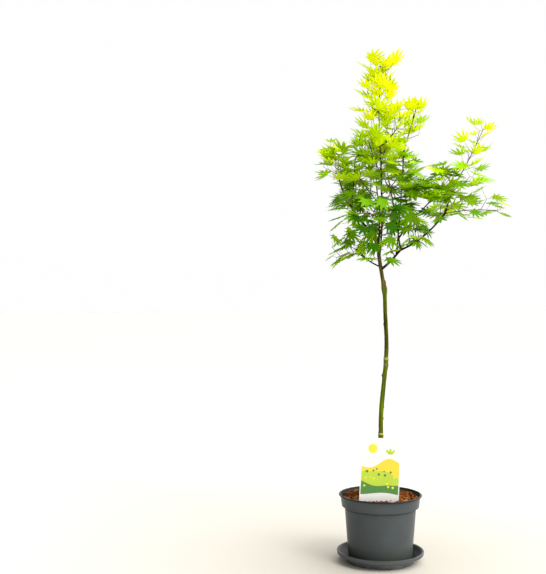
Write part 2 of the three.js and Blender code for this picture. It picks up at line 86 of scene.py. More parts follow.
class Mixer:
    """Adds nodes to the tree of a material or a world, and links them."""

    def __init__(self, owner: bpy.types.Material | bpy.types.World, shader: str) -> None:
        """Starts from what a new material or world comes with.

        Args:
            owner: The material or the world.
            shader: The name of its shader node.
        """
        owner.use_nodes = True
        self.tree = owner.node_tree
        self.shader = self.tree.nodes[shader]

    def feed(self, node: bpy.types.Node, inputs: Inputs) -> None:
        """Links or sets a node's inputs.

        Args:
            node: The node.
            inputs: What goes into it.
        """
        for key, value in inputs.items():
            if isinstance(value, Socket):
                self.tree.links.new(value, node.inputs[key])
            else:
                node.inputs[key].default_value = value

    def add(self, kind: str, inputs: Inputs, output: str | int = 0, **settings: object) -> Socket:
        """Adds one node.

        Args:
            kind: The node's type name without its prefix.
            inputs: What goes into it.
            output: The name or number of the output that is wanted.
            settings: Its properties.

        Returns:
            The output's socket.
        """
        node = self.tree.nodes.new(f"ShaderNode{kind}")
        for key, value in settings.items():
            setattr(node, key, value)
        self.feed(node, inputs)
        return node.outputs[output]

    def place(self, stretch: Sequence[float] = (1, 1, 1)) -> Socket:
        """Object coordinates, stretched along the axes."""
        return self.add("Mapping", {"Vector": self.add("TexCoord", {}, "Object"), "Scale": stretch})

    def reach(self, stretch: Sequence[float]) -> Socket:
        """The distance from the origin, with the axes stretched."""
        return self.add("VectorMath", {0: self.place(stretch)}, "Value", operation="LENGTH")

    def axis(self, vector: Socket, name: str) -> Socket:
        """One axis of a vector."""
        return self.add("SeparateXYZ", {0: vector}, name)

    def height(self, low: float, high: float) -> Socket:
        """A value that runs from 0 at one height to 1 at another, which may lie under it."""
        height = self.axis(self.place(), "Z")
        return self.add("MapRange", {"Value": height, "From Min": low, "From Max": high})

    def maths(self, operation: str, first: Socket, second: Socket | float) -> Socket:
        """Two values added or multiplied."""
        return self.add("Math", {0: first, 1: second}, operation=operation)

    def noise(self, place: Socket, waves: float, detail: float = 4) -> Socket:
        """Noise over a place, with so many waves in a metre."""
        return self.add("TexNoise", {"Vector": place, "Scale": waves, "Detail": detail}, "Fac")

    def ramp(self, value: Socket, stops: Sequence[tuple[float, Colour]]) -> Socket:
        """A colour ramp.

        Args:
            value: What it reads.
            stops: Each stop's place and colour.

        Returns:
            The colour's socket.
        """
        colour = self.add("ValToRGB", {"Fac": value})
        elements = colour.node.color_ramp.elements
        while len(elements) < len(stops):
            elements.new(0.5)
        for element, (at, shade) in zip(elements, stops):
            element.position = at
            element.color = (*shade, 1)
        return colour

    def mask(self, value: Socket, *stops: Pair) -> Socket:
        """A share that follows a value, by each stop's place and share."""
        return self.ramp(value, [(at, (share, share, share)) for at, share in stops])

    def mix(self, share: Socket, first: Colour | Socket, second: Colour | Socket) -> Socket:
        """Mixes two colours by the share of the second."""
        colours = {6: paint(first), 7: paint(second)}
        return self.add("Mix", {"Factor": share, **colours}, 2, data_type="RGBA")

    def surface(
        self,
        colour: Colour | Socket,
        roughness: float,
        specular: float,
        relief: Socket | None = None,
        depth: float = 0,
    ) -> None:
        """Feeds a material's shader.

        Args:
            colour: The base colour.
            roughness: The roughness.
            specular: How strongly it mirrors.
            relief: What its fine relief follows.
            depth: The relief's height in metres.
        """
        looks = {"Base Color": paint(colour), "Roughness": roughness, "Specular IOR Level": specular}
        if relief is not None:
            looks["Normal"] = self.add("Bump", {"Height": relief, "Distance": depth})
        self.feed(self.shader, looks)


@dataclass(frozen=True)
class Finish:
    """A material."""

    name: str

    def make(self) -> bpy.types.Material:
        """Makes the material.

        Returns:
            The material.
        """
        material = bpy.data.materials.new(self.name)
        self.fill(Mixer(material, "Principled BSDF"))
        return material

    def fill(self, mixer: Mixer) -> None:
        """Adds the material's nodes."""
        raise NotImplementedError


@dataclass(frozen=True)
class PlasticFinish(Finish):
    """Dark moulded plastic with a trace of dust. Near its foot it takes a colour in patches: a real stain
    on the pot, painted bounce light on the saucer. The rim, and the saucer's inside, take painted shade.
    """

    colour: Colour
    dust: Colour
    # Colour in patches under a height near the foot: a real greenish stain on the pot, painted bounce light
    # from the floor on the saucer
    stain_and_bounce_light: Colour
    stain_and_bounce_height: float
    # Painted shade: above this height the plastic takes the dark rim colour, for the lip and inner wall in
    # shade
    rim_height: float
    # The colour of the painted shade, at the rim and on the saucer's shaded inside
    rim: Colour = (0.020, 0.022, 0.023)
    # Painted shade: the upper side within this distance from the middle takes the dark rim colour, where
    # the pot shades the saucer
    shaded_reach: float = 0

    def fill(self, mixer: Mixer) -> None:
        """Adds the material's nodes.

        Args:
            mixer: What adds them.
        """
        place = mixer.place()
        cloud = mixer.mask(mixer.noise(place, waves=9), (0.45, 0), (0.8, 0.5))
        colour = mixer.mix(cloud, self.colour, self.dust)
        # Patches near the foot: a real stain on the pot, painted bounce light on the saucer
        patches = mixer.mask(mixer.noise(place, waves=26), (0.42, 0), (0.68, 0.9))
        low = mixer.height(self.stain_and_bounce_height, 0.3 * self.stain_and_bounce_height)
        colour = mixer.mix(mixer.maths("MULTIPLY", low, patches), colour, self.stain_and_bounce_light)
        # Painted shade at the rim
        colour = mixer.mix(mixer.height(self.rim_height, self.rim_height + 0.0015), colour, self.rim)
        # Painted shade: upward faces inside the shaded reach take the dark rim colour
        if self.shaded_reach:
            inside = mixer.mask(mixer.reach((1, 1, 0)), (self.shaded_reach - 0.0008, 1), (self.shaded_reach, 0))
            facing = mixer.axis(mixer.add("NewGeometry", {}, "Normal"), "Z")
            upward = mixer.mask(facing, (0.1, 0), (0.3, 0.8))
            colour = mixer.mix(mixer.maths("MULTIPLY", inside, upward), colour, self.rim)
        grain = mixer.noise(place, waves=900, detail=2)
        mixer.surface(colour, roughness=0.36, specular=0.10, relief=grain, depth=0.00008)


@dataclass(frozen=True)
class PlainFinish(Finish):
    """One plain colour, as on a leaf or a printed card."""

    colour: Colour
    roughness: float = 0.5
    specular: float = 0.4

    def fill(self, mixer: Mixer) -> None:
        """Adds the material's nodes."""
        mixer.surface(self.colour, self.roughness, self.specular)


@dataclass(frozen=True)
class ChipFinish(Finish):
    """Weathered bark, light and dark along its grain."""

    dark: Colour
    light: Colour

    def fill(self, mixer: Mixer) -> None:
        """Adds the material's nodes.

        Args:
            mixer: What adds them.
        """
        grain = mixer.noise(mixer.place(), waves=260, detail=6)
        colour = mixer.ramp(grain, [(0.3, self.dark), (0.7, self.light)])
        mixer.surface(colour, roughness=0.9, specular=0.08, relief=grain, depth=0.0006)


@dataclass(frozen=True)
class BarkFinish(Finish):
    """Young smooth bark: streaks, pale flecks, rings at old joints, and a darker graft above."""

    dark: Colour
    light: Colour
    fleck: Colour
    # Height, half width and colour of each ring
    rings: tuple[tuple[float, float, Colour], ...] = ()
    # The height from which the bark is that of the grafted wood, dark and light
    graft: float = 0
    above: tuple[Colour, Colour] = ((0.018, 0.012, 0.003), (0.155, 0.125, 0.026))

    def fill(self, mixer: Mixer) -> None:
        """Adds the material's nodes.

        Args:
            mixer: What adds them.
        """
        streak = mixer.noise(mixer.place((1, 1, 0.06)), waves=190, detail=5)
        patch = mixer.noise(mixer.place((1, 1, 0.35)), waves=28, detail=3)
        flecks = mixer.noise(mixer.place((1, 1, 1.8)), waves=520, detail=1)
        both = mixer.maths("MULTIPLY", mixer.maths("ADD", streak, patch), 0.5)
        colour = mixer.ramp(both, [(0.38, self.dark), (0.62, self.light)])
        for height, half, tint in self.rings:
            rise = mixer.height(height - 1.5 * half, height - 0.7 * half)
            fall = mixer.height(height + 1.5 * half, height + 0.7 * half)
            colour = mixer.mix(mixer.maths("MULTIPLY", rise, fall), colour, tint)
        if self.graft:
            scion = mixer.ramp(both, [(0.40, self.above[0]), (0.66, self.above[1])])
            colour = mixer.mix(mixer.height(self.graft - 0.012, self.graft + 0.012), colour, scion)
        colour = mixer.mix(mixer.mask(flecks, (0.66, 0), (0.74, 0.4)), colour, self.fleck)
        mixer.surface(colour, roughness=0.6, specular=0.03, relief=streak, depth=0.0004)


@dataclass(frozen=True)
class PaperFinish(Finish):
    """Floor paper with painted shade round the pot: darker and warmer near it, white further off."""

    # Each ring of colour by its distance, in units of four metres; the darker inner rings are painted shade
    # round the pot
    stops: tuple[tuple[float, Colour], ...] = (
        (0.05, (0.69, 0.65, 0.575)),
        (0.3, (0.84, 0.82, 0.77)),
        (0.7, (0.99, 0.985, 0.975)),
    )

    def fill(self, mixer: Mixer) -> None:
        """Adds the material's nodes."""
        colour = mixer.ramp(mixer.reach((0.25, 0.25, 0.25)), self.stops)
        mixer.surface(colour, roughness=0.9, specular=0.1)


class Tone(Enum):
    """The slots and colours that the leaves run through, from inside the crown to its tips."""

    DEEP = ("leaves_green", (0.043, 0.180, 0.001))
    GREEN = ("leaves_green", (0.135, 0.325, 0.001))
    FRESH = ("leaves_lime", (0.30, 0.55, 0.001))
    LIME = ("leaves_lime", (0.49, 0.73, 0.001))
    LEMON = ("leaves_gold", (0.71, 0.86, 0.002))
    GOLD = ("leaves_gold", (0.86, 0.91, 0.002))

    def finish(self) -> PlainFinish:
        """The finish of its leaves."""
        return PlainFinish(f"leaf_{self.name.lower()}", self.value[1], specular=0.04)


# Modelling


def deselect() -> None:
    """Leaves nothing selected and no piece active."""
    bpy.ops.object.select_all(action="DESELECT")
    bpy.context.view_layer.objects.active = None


def pick(piece: Piece) -> None:
    """Makes a piece the only one selected, and active.

    Args:
        piece: The piece.
    """
    deselect()
    piece.select_set(True)
    bpy.context.view_layer.objects.active = piece


@contextmanager
def editing(piece: Piece) -> Iterator[None]:
    """Edit mode on one piece, with all of it selected.

    Args:
        piece: The piece.
    """
    pick(piece)
    bpy.ops.object.mode_set(mode="EDIT")
    bpy.ops.mesh.select_all(action="SELECT")
    yield
    bpy.ops.object.mode_set(mode="OBJECT")


def face_outward() -> None:
    """Turns all faces of the piece in edit mode outward."""
    bpy.ops.mesh.select_all(action="SELECT")
    bpy.ops.mesh.normals_make_consistent(inside=False)


def push(x: float, y: float, z: float) -> None:
    """Extrudes what is selected in edit mode."""
    bpy.ops.mesh.extrude_region_move(TRANSFORM_OT_translate={"value": (x, y, z)})


def choose(kind: str, test: Callable[[Vector], bool]) -> None:
    """Selects faces or edges of the piece in edit mode by the place of their middle.

    Args:
        kind: "faces" or "edges".
        test: Says whether a middle is wanted.
    """
    bpy.ops.mesh.select_mode(type="FACE" if kind == "faces" else "EDGE")
    bpy.ops.mesh.select_all(action="DESELECT")
    shape = bmesh.from_edit_mesh(bpy.context.object.data)
    for part in getattr(shape, kind):
        middle = sum((corner.co for corner in part.verts), Vector()) / len(part.verts)
        part.select_set(test(middle))
    shape.select_flush_mode()
    bmesh.update_edit_mesh(bpy.context.object.data)


def name_piece(name: str) -> Piece:
    """Names the piece that an operator has just added.

    Args:
        name: Its name.

    Returns:
        The piece.
    """
    piece = bpy.context.object
    piece.name = name
    piece.data.name = name
    return piece


def settle(piece: Piece, smooth: float = 40) -> Piece:
    """Puts a piece's place into its mesh and smooths its faces up to an angle.

    Args:
        piece: The piece.
        smooth: The angle in degrees.

    Returns:
        The piece.
    """
    pick(piece)
    bpy.ops.object.transform_apply(location=True, rotation=True, scale=True)
    bpy.ops.object.shade_smooth_by_angle(angle=math.radians(smooth))
    return piece


def dress(piece: Piece, finish: Finish, slot: str, *nodes: str) -> None:
    """Gives a piece its finish and body, and hides the solids that it stands for.

    Args:
        piece: The piece.
        finish: Its finish.
        slot: Not used.
        nodes: The solids that it replaces.
    """
    piece.data.materials.clear()
    piece.data.materials.append(finish.make())
    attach(piece, "root")
    if nodes:
        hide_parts(*nodes)
    log.info("%s: %d faces", piece.name, len(piece.data.polygons))


def turned(name: str, profile: Profile, sides: int = 96) -> Piece:
    """A round solid, drawn up ring by ring from a disc.

    Args:
        name: Its name.
        profile: Radius and height of each ring, from the disc under it to the last disc.
        sides: The number of its sides.

    Returns:
        The piece.
    """
    radius, height = profile[0]
    bpy.ops.mesh.primitive_circle_add(
        vertices=sides, radius=radius, fill_type="NGON", location=(0, 0, height)
    )
    piece = name_piece(name)
    with editing(piece):
        for (radius, height), (next_radius, next_height) in pairwise(profile):
            push(0, 0, next_height - height)
            share = next_radius / radius
            bpy.ops.transform.resize(value=(share, share, 1), center_override=(0, 0, next_height))
        face_outward()
    return piece


def arc(middle: Pair, radius: float, start: float, end: float, steps: int) -> Profile:
    """Points of a profile along an arc.

    Args:
        middle: The arc's middle, as radius and height.
        radius: Its radius.
        start: The angle of its first point, in degrees from outwards.
        end: The angle of its last point.
        steps: The stretches that it is cut into.

    Returns:
        The points.
    """
    turns = np.radians(np.linspace(start, end, steps + 1))
    return [(middle[0] + radius * math.cos(a), middle[1] + radius * math.sin(a)) for a in turns]


def joined(name: str, parts: Sequence[Mesh], smooth: float) -> Piece:
    """One piece from many small meshes.

    Args:
        name: Its name.
        parts: Points and triangles of each small mesh.
        smooth: The angle up to which its faces are smoothed, in degrees.

    Returns:
        The piece.
    """
    starts = np.cumsum([0] + [len(points) for points, _ in parts])
    points = np.concatenate([points for points, _ in parts])
    faces = np.concatenate([faces + start for (_, faces), start in zip(parts, starts)])
    mesh = bpy.data.meshes.new(name)
    mesh.from_pydata(points.tolist(), [], faces.tolist())
    piece = bpy.data.objects.new(name, mesh)
    bpy.context.scene.collection.objects.link(piece)
    return settle(piece, smooth)


def pattern(piece: Piece) -> Mesh:
    """Takes a modelled shape as points and triangles, to be copied, and removes it.

    Args:
        piece: The modelled shape.

    Returns:
        Its points and triangles.
    """
    pick(piece)
    piece.modifiers.new("triangles", "TRIANGULATE")
    bpy.ops.object.modifier_apply(modifier="triangles")
    points = np.array([vertex.co for vertex in piece.data.vertices])
    faces = np.array([face.vertices for face in piece.data.polygons])
    bpy.data.objects.remove(piece)
    return points, faces


# Lines that wood grows along


class Line:
    """A line from 0 to 1."""

    def point(self, t: float) -> Vector:
        """The point at a share of the line."""
        raise NotImplementedError

    def tangent(self, t: float) -> Vector:
        """The line's direction at a share of it.

        Args:
            t: The share.

        Returns:
            A unit vector.
        """
        before, after = max(t - 1e-4, 0), min(t + 1e-4, 1)
        return (self.point(after) - self.point(before)).normalized()

    def length(self) -> float:
        """The line's length."""
        points = [self.point(i / 50) for i in range(51)]
        return sum((b - a).length for a, b in pairwise(points))


@dataclass
class Bow(Line):
    """A line between two points that sags by a bow. With none it is straight."""

    root: Vector
    tip: Vector
    bow: float = 0

    def point(self, t: float) -> Vector:
        """The point at a share of the line."""
        middle = self.root.lerp(self.tip, 0.5) - 2 * self.bow * UP
        return (1 - t) ** 2 * self.root + 2 * (1 - t) * t * middle + t * t * self.tip


@dataclass
class StemLine(Line):
    """The stem's line, which sways smoothly from each bend to the next."""

    bends: tuple[Triple, ...]

    def point(self, t: float) -> Vector:
        """The point at a share of the line."""
        return self.at(self.bends[0][0] + t * (self.bends[-1][0] - self.bends[0][0]))

    def at(self, height: float) -> Vector:
        """The point at a height.

        Args:
            height: The height over the floor.

        Returns:
            The point.
        """
        later = max(1, next(i for i, bend in enumerate(self.bends) if bend[0] >= height - 1e-9))
        before, after = self.bends[later - 1], self.bends[later]
        share = min(1.0, max(0.0, (height - before[0]) / (after[0] - before[0])))
        share = share * share * (3 - 2 * share)
        x, y = (before[k] + share * (after[k] - before[k]) for k in (1, 2))
        return Vector((x, y, height))


def across(tangent: Vector, reference: Vector) -> tuple[Vector, Vector]:
    """The two directions across a line.

    Args:
        tangent: The line's direction.
        reference: What the first one stays square to.

    Returns:
        The direction to the side and the one over it.
    """
    side = tangent.cross(reference).normalized()
    return side, side.cross(tangent)


def reference_for(direction: Vector) -> Vector:
    """What a line of that direction takes its sides from."""
    return ACROSS if abs(direction.z) > STEEP else UP


def tube(line: Line, radii: Pair, sides: int, steps: int) -> Mesh:
    """A small closed tapering tube.

    Args:
        line: The line that it follows.
        radii: Its radius at the root and at the tip.
        sides: The number of its sides.
        steps: The stretches that it is cut into.

    Returns:
        Its points and triangles.
    """
    reference = reference_for((line.point(1) - line.point(0)).normalized())
    points = []
    for i in range(steps + 1):
        t = i / steps
        side, over = across(line.tangent(t), reference)
        radius = radii[0] + t * (radii[1] - radii[0])
        for k in range(sides):
            turn = 2 * math.pi * k / sides
            points.append(line.point(t) + radius * (math.cos(turn) * side + math.sin(turn) * over))
    points += [line.point(0), line.point(1)]
    faces = []
    for i in range(steps):
        for k in range(sides):
            a, b = i * sides + k, i * sides + (k + 1) % sides
            faces += [(a, b + sides, b), (a, a + sides, b + sides)]
    last = steps * sides
    for k in range(sides):
        a, b = k, (k + 1) % sides
        faces += [(len(points) - 2, a, b), (len(points) - 1, last + b, last + a)]
    return np.array(points), np.array(faces)


def swell(away: float, half: float) -> float:
    """A smooth swelling: 1 in its middle, and little left at twice its half width."""
    return math.exp(-((away / half) ** 2))


# Where the wood stands


@dataclass(frozen=True)
class Limb:
    """A bough: the wood that it leaves, where, its tip, its bow and its radii."""

    name: str
    on: str
    leave: float
    tip: Triple
    bow: float
    radii: Pair


@dataclass(frozen=True)
class Spray:
    """A spray of leaves: the wood that it leaves, where, its tip and how it grows."""

    name: str
    on: str
    leave: float
    tip: Triple
    # The length of its leaves and the seed of its draws
    leaf: float
    seed: int
    # How far it sags, its pairs of buds, the bare share at its root, and the share of side twigs
    bow: float = -0.008
    pairs: int = 3
    bare: float = 0.15
    side: float = 0.1


LIMBS = (
    Limb("right_bough", "stem", 0.914, (0.063, -0.005, 0.976), 0.004, (0.0042, 0.0033)),
    Limb("right_arm", "right_bough", 1, (0.2, -0.015, 1.088), 0.016, (0.0031, 0.0025)),
    Limb("right_shoot", "right_arm", 1, (0.236, -0.022, 1.188), -0.004, (0.0023, 0.0018)),
    Limb("right_riser", "right_bough", 1, (0.03, 0.028, 1.198), -0.008, (0.0027, 0.0019)),
    Limb("tall_riser", "right_bough", 0.8, (0.07, -0.042, 1.292), 0.01, (0.0026, 0.0017)),
    Limb("shoulder_bough", "right_riser", 0.15, (0.176, -0.034, 1.15), -0.005, (0.0022, 0.0018)),
    Limb("left_bough", "stem", 0.99, (-0.104, -0.004, 1.124), -0.005, (0.004, 0.0028)),
    Limb("left_riser", "left_bough", 1, (-0.134, 0.008, 1.216), 0.005, (0.0025, 0.0019)),
    Limb("left_whip", "left_bough", 0.85, (-0.082, -0.034, 1.258), 0.004, (0.002, 0.0016)),
    Limb("low_left_bough", "stem", 0.922, (-0.062, -0.026, 0.958), 0.003, (0.0024, 0.0019)),
    Limb("front_bough", "stem", 0.962, (-0.014, -0.104, 1.072), 0.006, (0.003, 0.0022)),
    Limb("back_bough", "stem", 0.946, (0.018, 0.108, 1.058), 0.006, (0.0032, 0.0024)),
    Limb("back_riser", "back_bough", 1, (0.002, 0.138, 1.196), 0.004, (0.0023, 0.0018)),
)

SPRAYS = (
    Spray("crown_tip", "stem", 1.399, (0, -0.004, 1.552),
          0.052, 1837, bow=0.002, pairs=10, bare=0, side=0),
    Spray("crown_left", "stem", 1.29, (-0.028, -0.032, 1.392), 0.06, 2, bow=0.008, pairs=4),
    Spray("crown_right", "stem", 1.3, (0.064, -0.022, 1.376), 0.058, 538, bow=0.008, pairs=4),
    Spray("crown_back", "stem", 1.24, (0.032, 0.086, 1.354), 0.058, 14332, bow=0.008, side=0),
    Spray("crown_front", "stem", 1.212, (-0.042, -0.08, 1.298), 0.058, 866, bow=0.008),
    Spray("heart_left", "stem", 1.11, (-0.084, -0.046, 1.218), 0.054, 438, bow=0.006),
    Spray("heart_right", "stem", 1.15, (0.07, -0.04, 1.222), 0.058, 14191, bow=0.006),
    Spray("heart_low", "right_riser", 0.5, (0.052, -0.05, 1.096), 0.058, 42, pairs=4),
    Spray("upper_right", "tall_riser", 1, (0.104, -0.054, 1.408), 0.044, 14769, bow=0.004, pairs=5),
    Spray("middle_right", "tall_riser", 0.9, (0.06, -0.062, 1.24), 0.05, 25, side=0),
    Spray("arm_tip", "right_shoot", 1, (0.324, -0.002, 1.356), 0.048, 659, bow=0.006, pairs=5),
    Spray("arm_outer", "right_shoot", 0.6, (0.272, -0.038, 1.188), 0.056, 336, pairs=2, side=0),
    Spray("arm_far", "right_arm", 1, (0.374, 0.014, 1.098), 0.044, 337, pairs=4),
    Spray("arm_low", "right_arm", 0.8, (0.178, -0.084, 1.084), 0.048, 14018),
    Spray("arm_back", "right_arm", 0.9, (0.248, 0.096, 1.118), 0.05, 555),
    Spray("shoulder_top", "shoulder_bough", 1, (0.188, -0.074, 1.166), 0.06, 122, pairs=5),
    Spray("shoulder_left", "shoulder_bough", 0.8, (0.116, -0.1, 1.148), 0.058, 665, pairs=4),
    Spray("shoulder_low", "shoulder_bough", 0.6, (0.178, -0.068, 1.132), 0.046, 14418, pairs=2),
    Spray("low_right", "right_arm", 0.3, (0.116, -0.056, 1.01), 0.048, 185),
    Spray("low_right_back", "right_arm", 0.15, (0.12, 0.092, 1.028), 0.048, 200),
    Spray("low_front", "right_bough", 0.7, (0.012, -0.066, 0.988), 0.044, 656, pairs=2),
    Spray("centre_right", "right_riser", 0.85, (0.112, 0.022, 1.188), 0.056, 954),
    Spray("centre_top", "right_riser", 1, (0.02, 0.066, 1.302), 0.06, 988, bow=0.004),
    Spray("left_upper", "left_riser", 1, (-0.13, -0.014, 1.268), 0.058, 14640, bow=0.006),
    Spray("left_middle", "left_riser", 0.7, (-0.144, -0.056, 1.214), 0.056, 519),
    Spray("left_crest", "left_whip", 1, (-0.048, -0.036, 1.3), 0.052, 837, bow=0.003),
    Spray("left_inner", "left_bough", 0.7, (-0.1, -0.08, 1.078), 0.05, 15183),
    Spray("left_back", "left_bough", 0.9, (-0.084, 0.088, 1.15), 0.052, 404),
    Spray("low_left", "low_left_bough", 1, (-0.14, -0.028, 0.95), 0.042, 15041, side=0),
    Spray("low_left_near", "low_left_bough", 0.5, (-0.016, -0.064, 0.944), 0.052, 84, pairs=1),
    Spray("low_left_back", "low_left_bough", 0.8, (-0.094, 0.064, 0.988), 0.042, 1219),
    Spray("front_low", "front_bough", 0.9, (-0.048, -0.182, 1.068), 0.05, 644),
    Spray("front_top", "front_bough", 1, (0.024, -0.126, 1.164), 0.048, 1257, bow=0.004, side=0),
    Spray("back_low", "back_bough", 0.9, (0.03, 0.208, 1.064), 0.054, 723),
    Spray("back_left", "back_riser", 0.8, (-0.072, 0.16, 1.18), 0.054, 647),
    Spray("back_top", "back_riser", 1, (0.004, 0.146, 1.316), 0.054, 15732, bow=0.003, side=0),
)


# The growing rule


class Draws:
    """Repeatable random numbers, the same as those of the solids."""

    def __init__(self, seed: int) -> None:
        """Starts a row of numbers from a seed."""
        self.state = (seed * 2654435761) & 0xFFFFFFFF

    def __call__(self, low: float, high: float) -> float:
        """The next number between two limits."""
        self.state = (self.state * 1664525 + 1013904223) & 0xFFFFFFFF
        return low + (high - low) * self.state / 2**32


@dataclass
class Shoot:
    """A twig that carries buds."""

    line: Line
    leaf: float
    seed: int
    pairs: int
    bare: float = 0.15
    side: float = 0
    # Where the last pair sits, and how long the youngest leaves are, as a share of the oldest
    last: float = 0.98
    young: float = 0.72


@dataclass
class Bud:
    """A bud on a shoot."""

    node: Vector
    along: Vector
    outward: Vector
    age: float
    last: bool
    seed: int


@dataclass
class Leaf:
    """A leaf in its place."""

    node: Vector
    heel: Vector
    axis: Vector
    facing: Vector
    length: float
    tone: Tone = Tone.FRESH

    def above(self) -> Vector:
        """The direction that the blade's upper side faces."""
        return (self.facing - self.facing.dot(self.axis) * self.axis).normalized()

    def middle(self) -> Vector:
        """The middle of the blade."""
        return self.heel + 0.42 * self.length * self.axis

    def bowl(self) -> float:
        """How far the lobes' tips rise over the blade's heel, or hang, as a share of its length."""
        return float(np.interp(self.heel.z, (0.98, 1.28), (-0.12, 0.36)))

    def tip(self) -> Vector:
        """The tip of the middle lobe."""
        return self.heel + self.length * (self.axis + self.bowl() * self.above())


@dataclass
class Growth:
    """Grows a crown from its sprays: twigs, side twigs, stalks and leaves."""

    # How often a bud tries to open where the solid has a leaf, and where a finer one has room
    attempts: int = 8
    fine_attempts: int = 3
    # How near to the solid's corner the tip of its leaf and of its side twig lies
    leaf_mark: float = 0.0005
    twig_mark: float = 0.002
    # Radii at the root and at the tip
    stem_radii: Pair = (0.0018, 0.0010)
    side_radii: Pair = (0.0012, 0.0008)
    fine_radii: Pair = (0.0010, 0.0006)
    stalk_radii: Pair = (0.0006, 0.00045)
    # How a bud leaves its twig: its share of the twig's own way, and of the way up
    lean: Pair = (0.35, 0.8)
    climb: Pair = (0, 0.4)
    # A leaf's spread in length, and its stalk as a share of that
    spread: Pair = (0.9, 1.1)
    stalk: Pair = (0.5, 0.8)
    # A side twig as a share of its shoot, and its leaves as a share of the shoot's
    twig_reach: Pair = (0.3, 0.42)
    twig_leaf: float = 0.88
    # The angle at which the blades stand, in degrees, by their height, and how far it is off
    lift: Pair = (-20, 20)
    lift_heights: Pair = (0.95, 1.55)
    off: Pair = (-18, 18)
    tilt: Pair = (-0.6, 0.6)
    # The angle by which the finer ones hang more, from the first height down to none at the second
    hang: float = 28
    hang_heights: Pair = (1.10, 1.35)
    # The finer twigs and leaves, as shares of the spray's leaf, and the room round each leaf
    fine_reach: Pair = (0.55, 1.1)
    fine_leaf: Pair = (0.84, 1.06)
    room: float = 0.38
    past_box: float = 0.004
    # The crown's heart, where the leaves are closest: its heights and its radius
    heart: Pair = (1.13, 1.28)
    heart_reach: float = 0.2
    # How far a leaf's colour has run from green to gold, by its height
    tone_heights: tuple[float, ...] = (0.98, 1.04, 1.10, 1.23, 1.29, 1.35, 1.42, 1.50)
    tone_shares: tuple[float, ...] = (0.34, 0.26, 0.29, 0.46, 0.60, 0.70, 0.78, 0.86)
    # How much further out to the sides, how much less in front and behind, at a tip, and by chance
    sides: tuple[Pair, float] = ((0.08, 0.30), 0.16)
    depths: tuple[Pair, float] = ((0.07, 0.15), -0.20)
    tip_gain: float = 0.08
    chance: Pair = (-0.15, 0.15)
    twigs: list[Mesh] = field(default_factory=list)
    stalks: list[Mesh] = field(default_factory=list)
    leaves: list[Leaf] = field(default_factory=list)
    owners: dict[Tone, set[str]] = field(default_factory=lambda: {tone: set() for tone in Tone})
    # The solid that the growth follows: its corners, its box and its name
    marks: KDTree = field(init=False)
    box: tuple[Vector, Vector] = field(init=False)
    name: str = field(init=False)

    def spray(self, spray: Spray, line: Line) -> None:
        """Grows one spray.

        Args:
            spray: The spray.
            line: Its stem's line.
        """
        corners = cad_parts[spray.name].data.vertices
        self.marks = KDTree(len(corners))
        for i, corner in enumerate(corners):
            self.marks.insert(corner.co, i)
        self.marks.balance()
        self.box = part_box(spray.name)
        self.name = spray.name
        shoot = Shoot(line, spray.leaf, spray.seed, spray.pairs, spray.bare, spray.side)
        self.twigs.append(tube(line, self.stem_radii, 6, 10))
        self.open_buds(shoot)
        self.open_fine_buds(shoot)

    def marked(self, place: Vector, within: float) -> bool:
        """Whether the spray's solid has a corner that near to a place."""
        return self.marks.find(place)[2] < within

    def buds(self, shoot: Shoot, shift: float = 0, turn_by: float = 0) -> list[Bud]:
        """The buds of a shoot, in opposite pairs, each turned about a quarter from the last.

        Args:
            shoot: The shoot.
            shift: The share of a pair's spacing by which they sit further back.
            turn_by: The angle by which they are turned on, in degrees.

        Returns:
            The buds.
        """
        draw = Draws(shoot.seed)
        start = draw(0, 90)
        made = []
        for k in range(shoot.pairs):
            t = shoot.bare + (k + 1 - shift) / shoot.pairs * (shoot.last - shoot.bare)
            along = shoot.line.tangent(t)
            side, over = across(along, reference_for(along))
            turn = math.radians(start + 90 * k + draw(*self.off) + turn_by)
            outward = math.cos(turn) * side + math.sin(turn) * over
            age = 1 - k / shoot.pairs
            last = k == shoot.pairs - 1
            for way in (1, -1):
                seed = (shoot.seed * 8 + k) * 2 + (1 + way) // 2
                made.append(Bud(shoot.line.point(t), along, way * outward, age, last, seed))
        return made

    def way(self, bud: Bud, draw: Draws) -> Vector:
        """The way in which a bud's stalk or twig leaves the shoot."""
        way = bud.outward + draw(*self.lean) * bud.along
        return (way + draw(*self.climb) * UP).normalized()

    def leaf(self, bud: Bud, shoot: Shoot, draw: Draws, hang: float = 0) -> Leaf:
        """A bud that has opened. Low in the crown the blade hangs, high up it stands.

        Args:
            bud: The bud.
            shoot: Its shoot.
            draw: The bud's random numbers.
            hang: By how many degrees more the lowest blades hang.

        Returns:
            The leaf.
        """
        way = self.way(bud, draw)
        length = shoot.leaf * draw(*self.spread) * (shoot.young + bud.age * (1 - shoot.young))
        heel = bud.node + length * draw(*self.stalk) * way
        level = Vector((way.x, way.y, 0)).normalized()
        (lowest, highest), (foot, top) = self.lift, self.lift_heights
        lift = lowest + (heel.z - foot) / (top - foot) * (highest - lowest)
        lift -= hang * float(np.interp(heel.z, self.hang_heights, (1, 0)))
        rise = math.radians(lift + draw(*self.off))
        axis = math.cos(rise) * level + math.sin(rise) * UP
        facing = UP + draw(*self.tilt) * Vector((-level.y, level.x, 0))
        return Leaf(bud.node, heel, axis, facing, length)

    def keep(self, leaf: Leaf, age: float) -> None:
        """Keeps a leaf with its stalk and its colour.

        Args:
            leaf: The leaf.
            age: 1 for the shoot's oldest, towards 0 for the youngest.
        """
        leaf.tone = self.tone(leaf, age)
        self.owners[leaf.tone].add(self.name)
        self.leaves.append(leaf)
        self.stalks.append(tube(Bow(leaf.node, leaf.heel, 0.0012), self.stalk_radii, 4, 3))

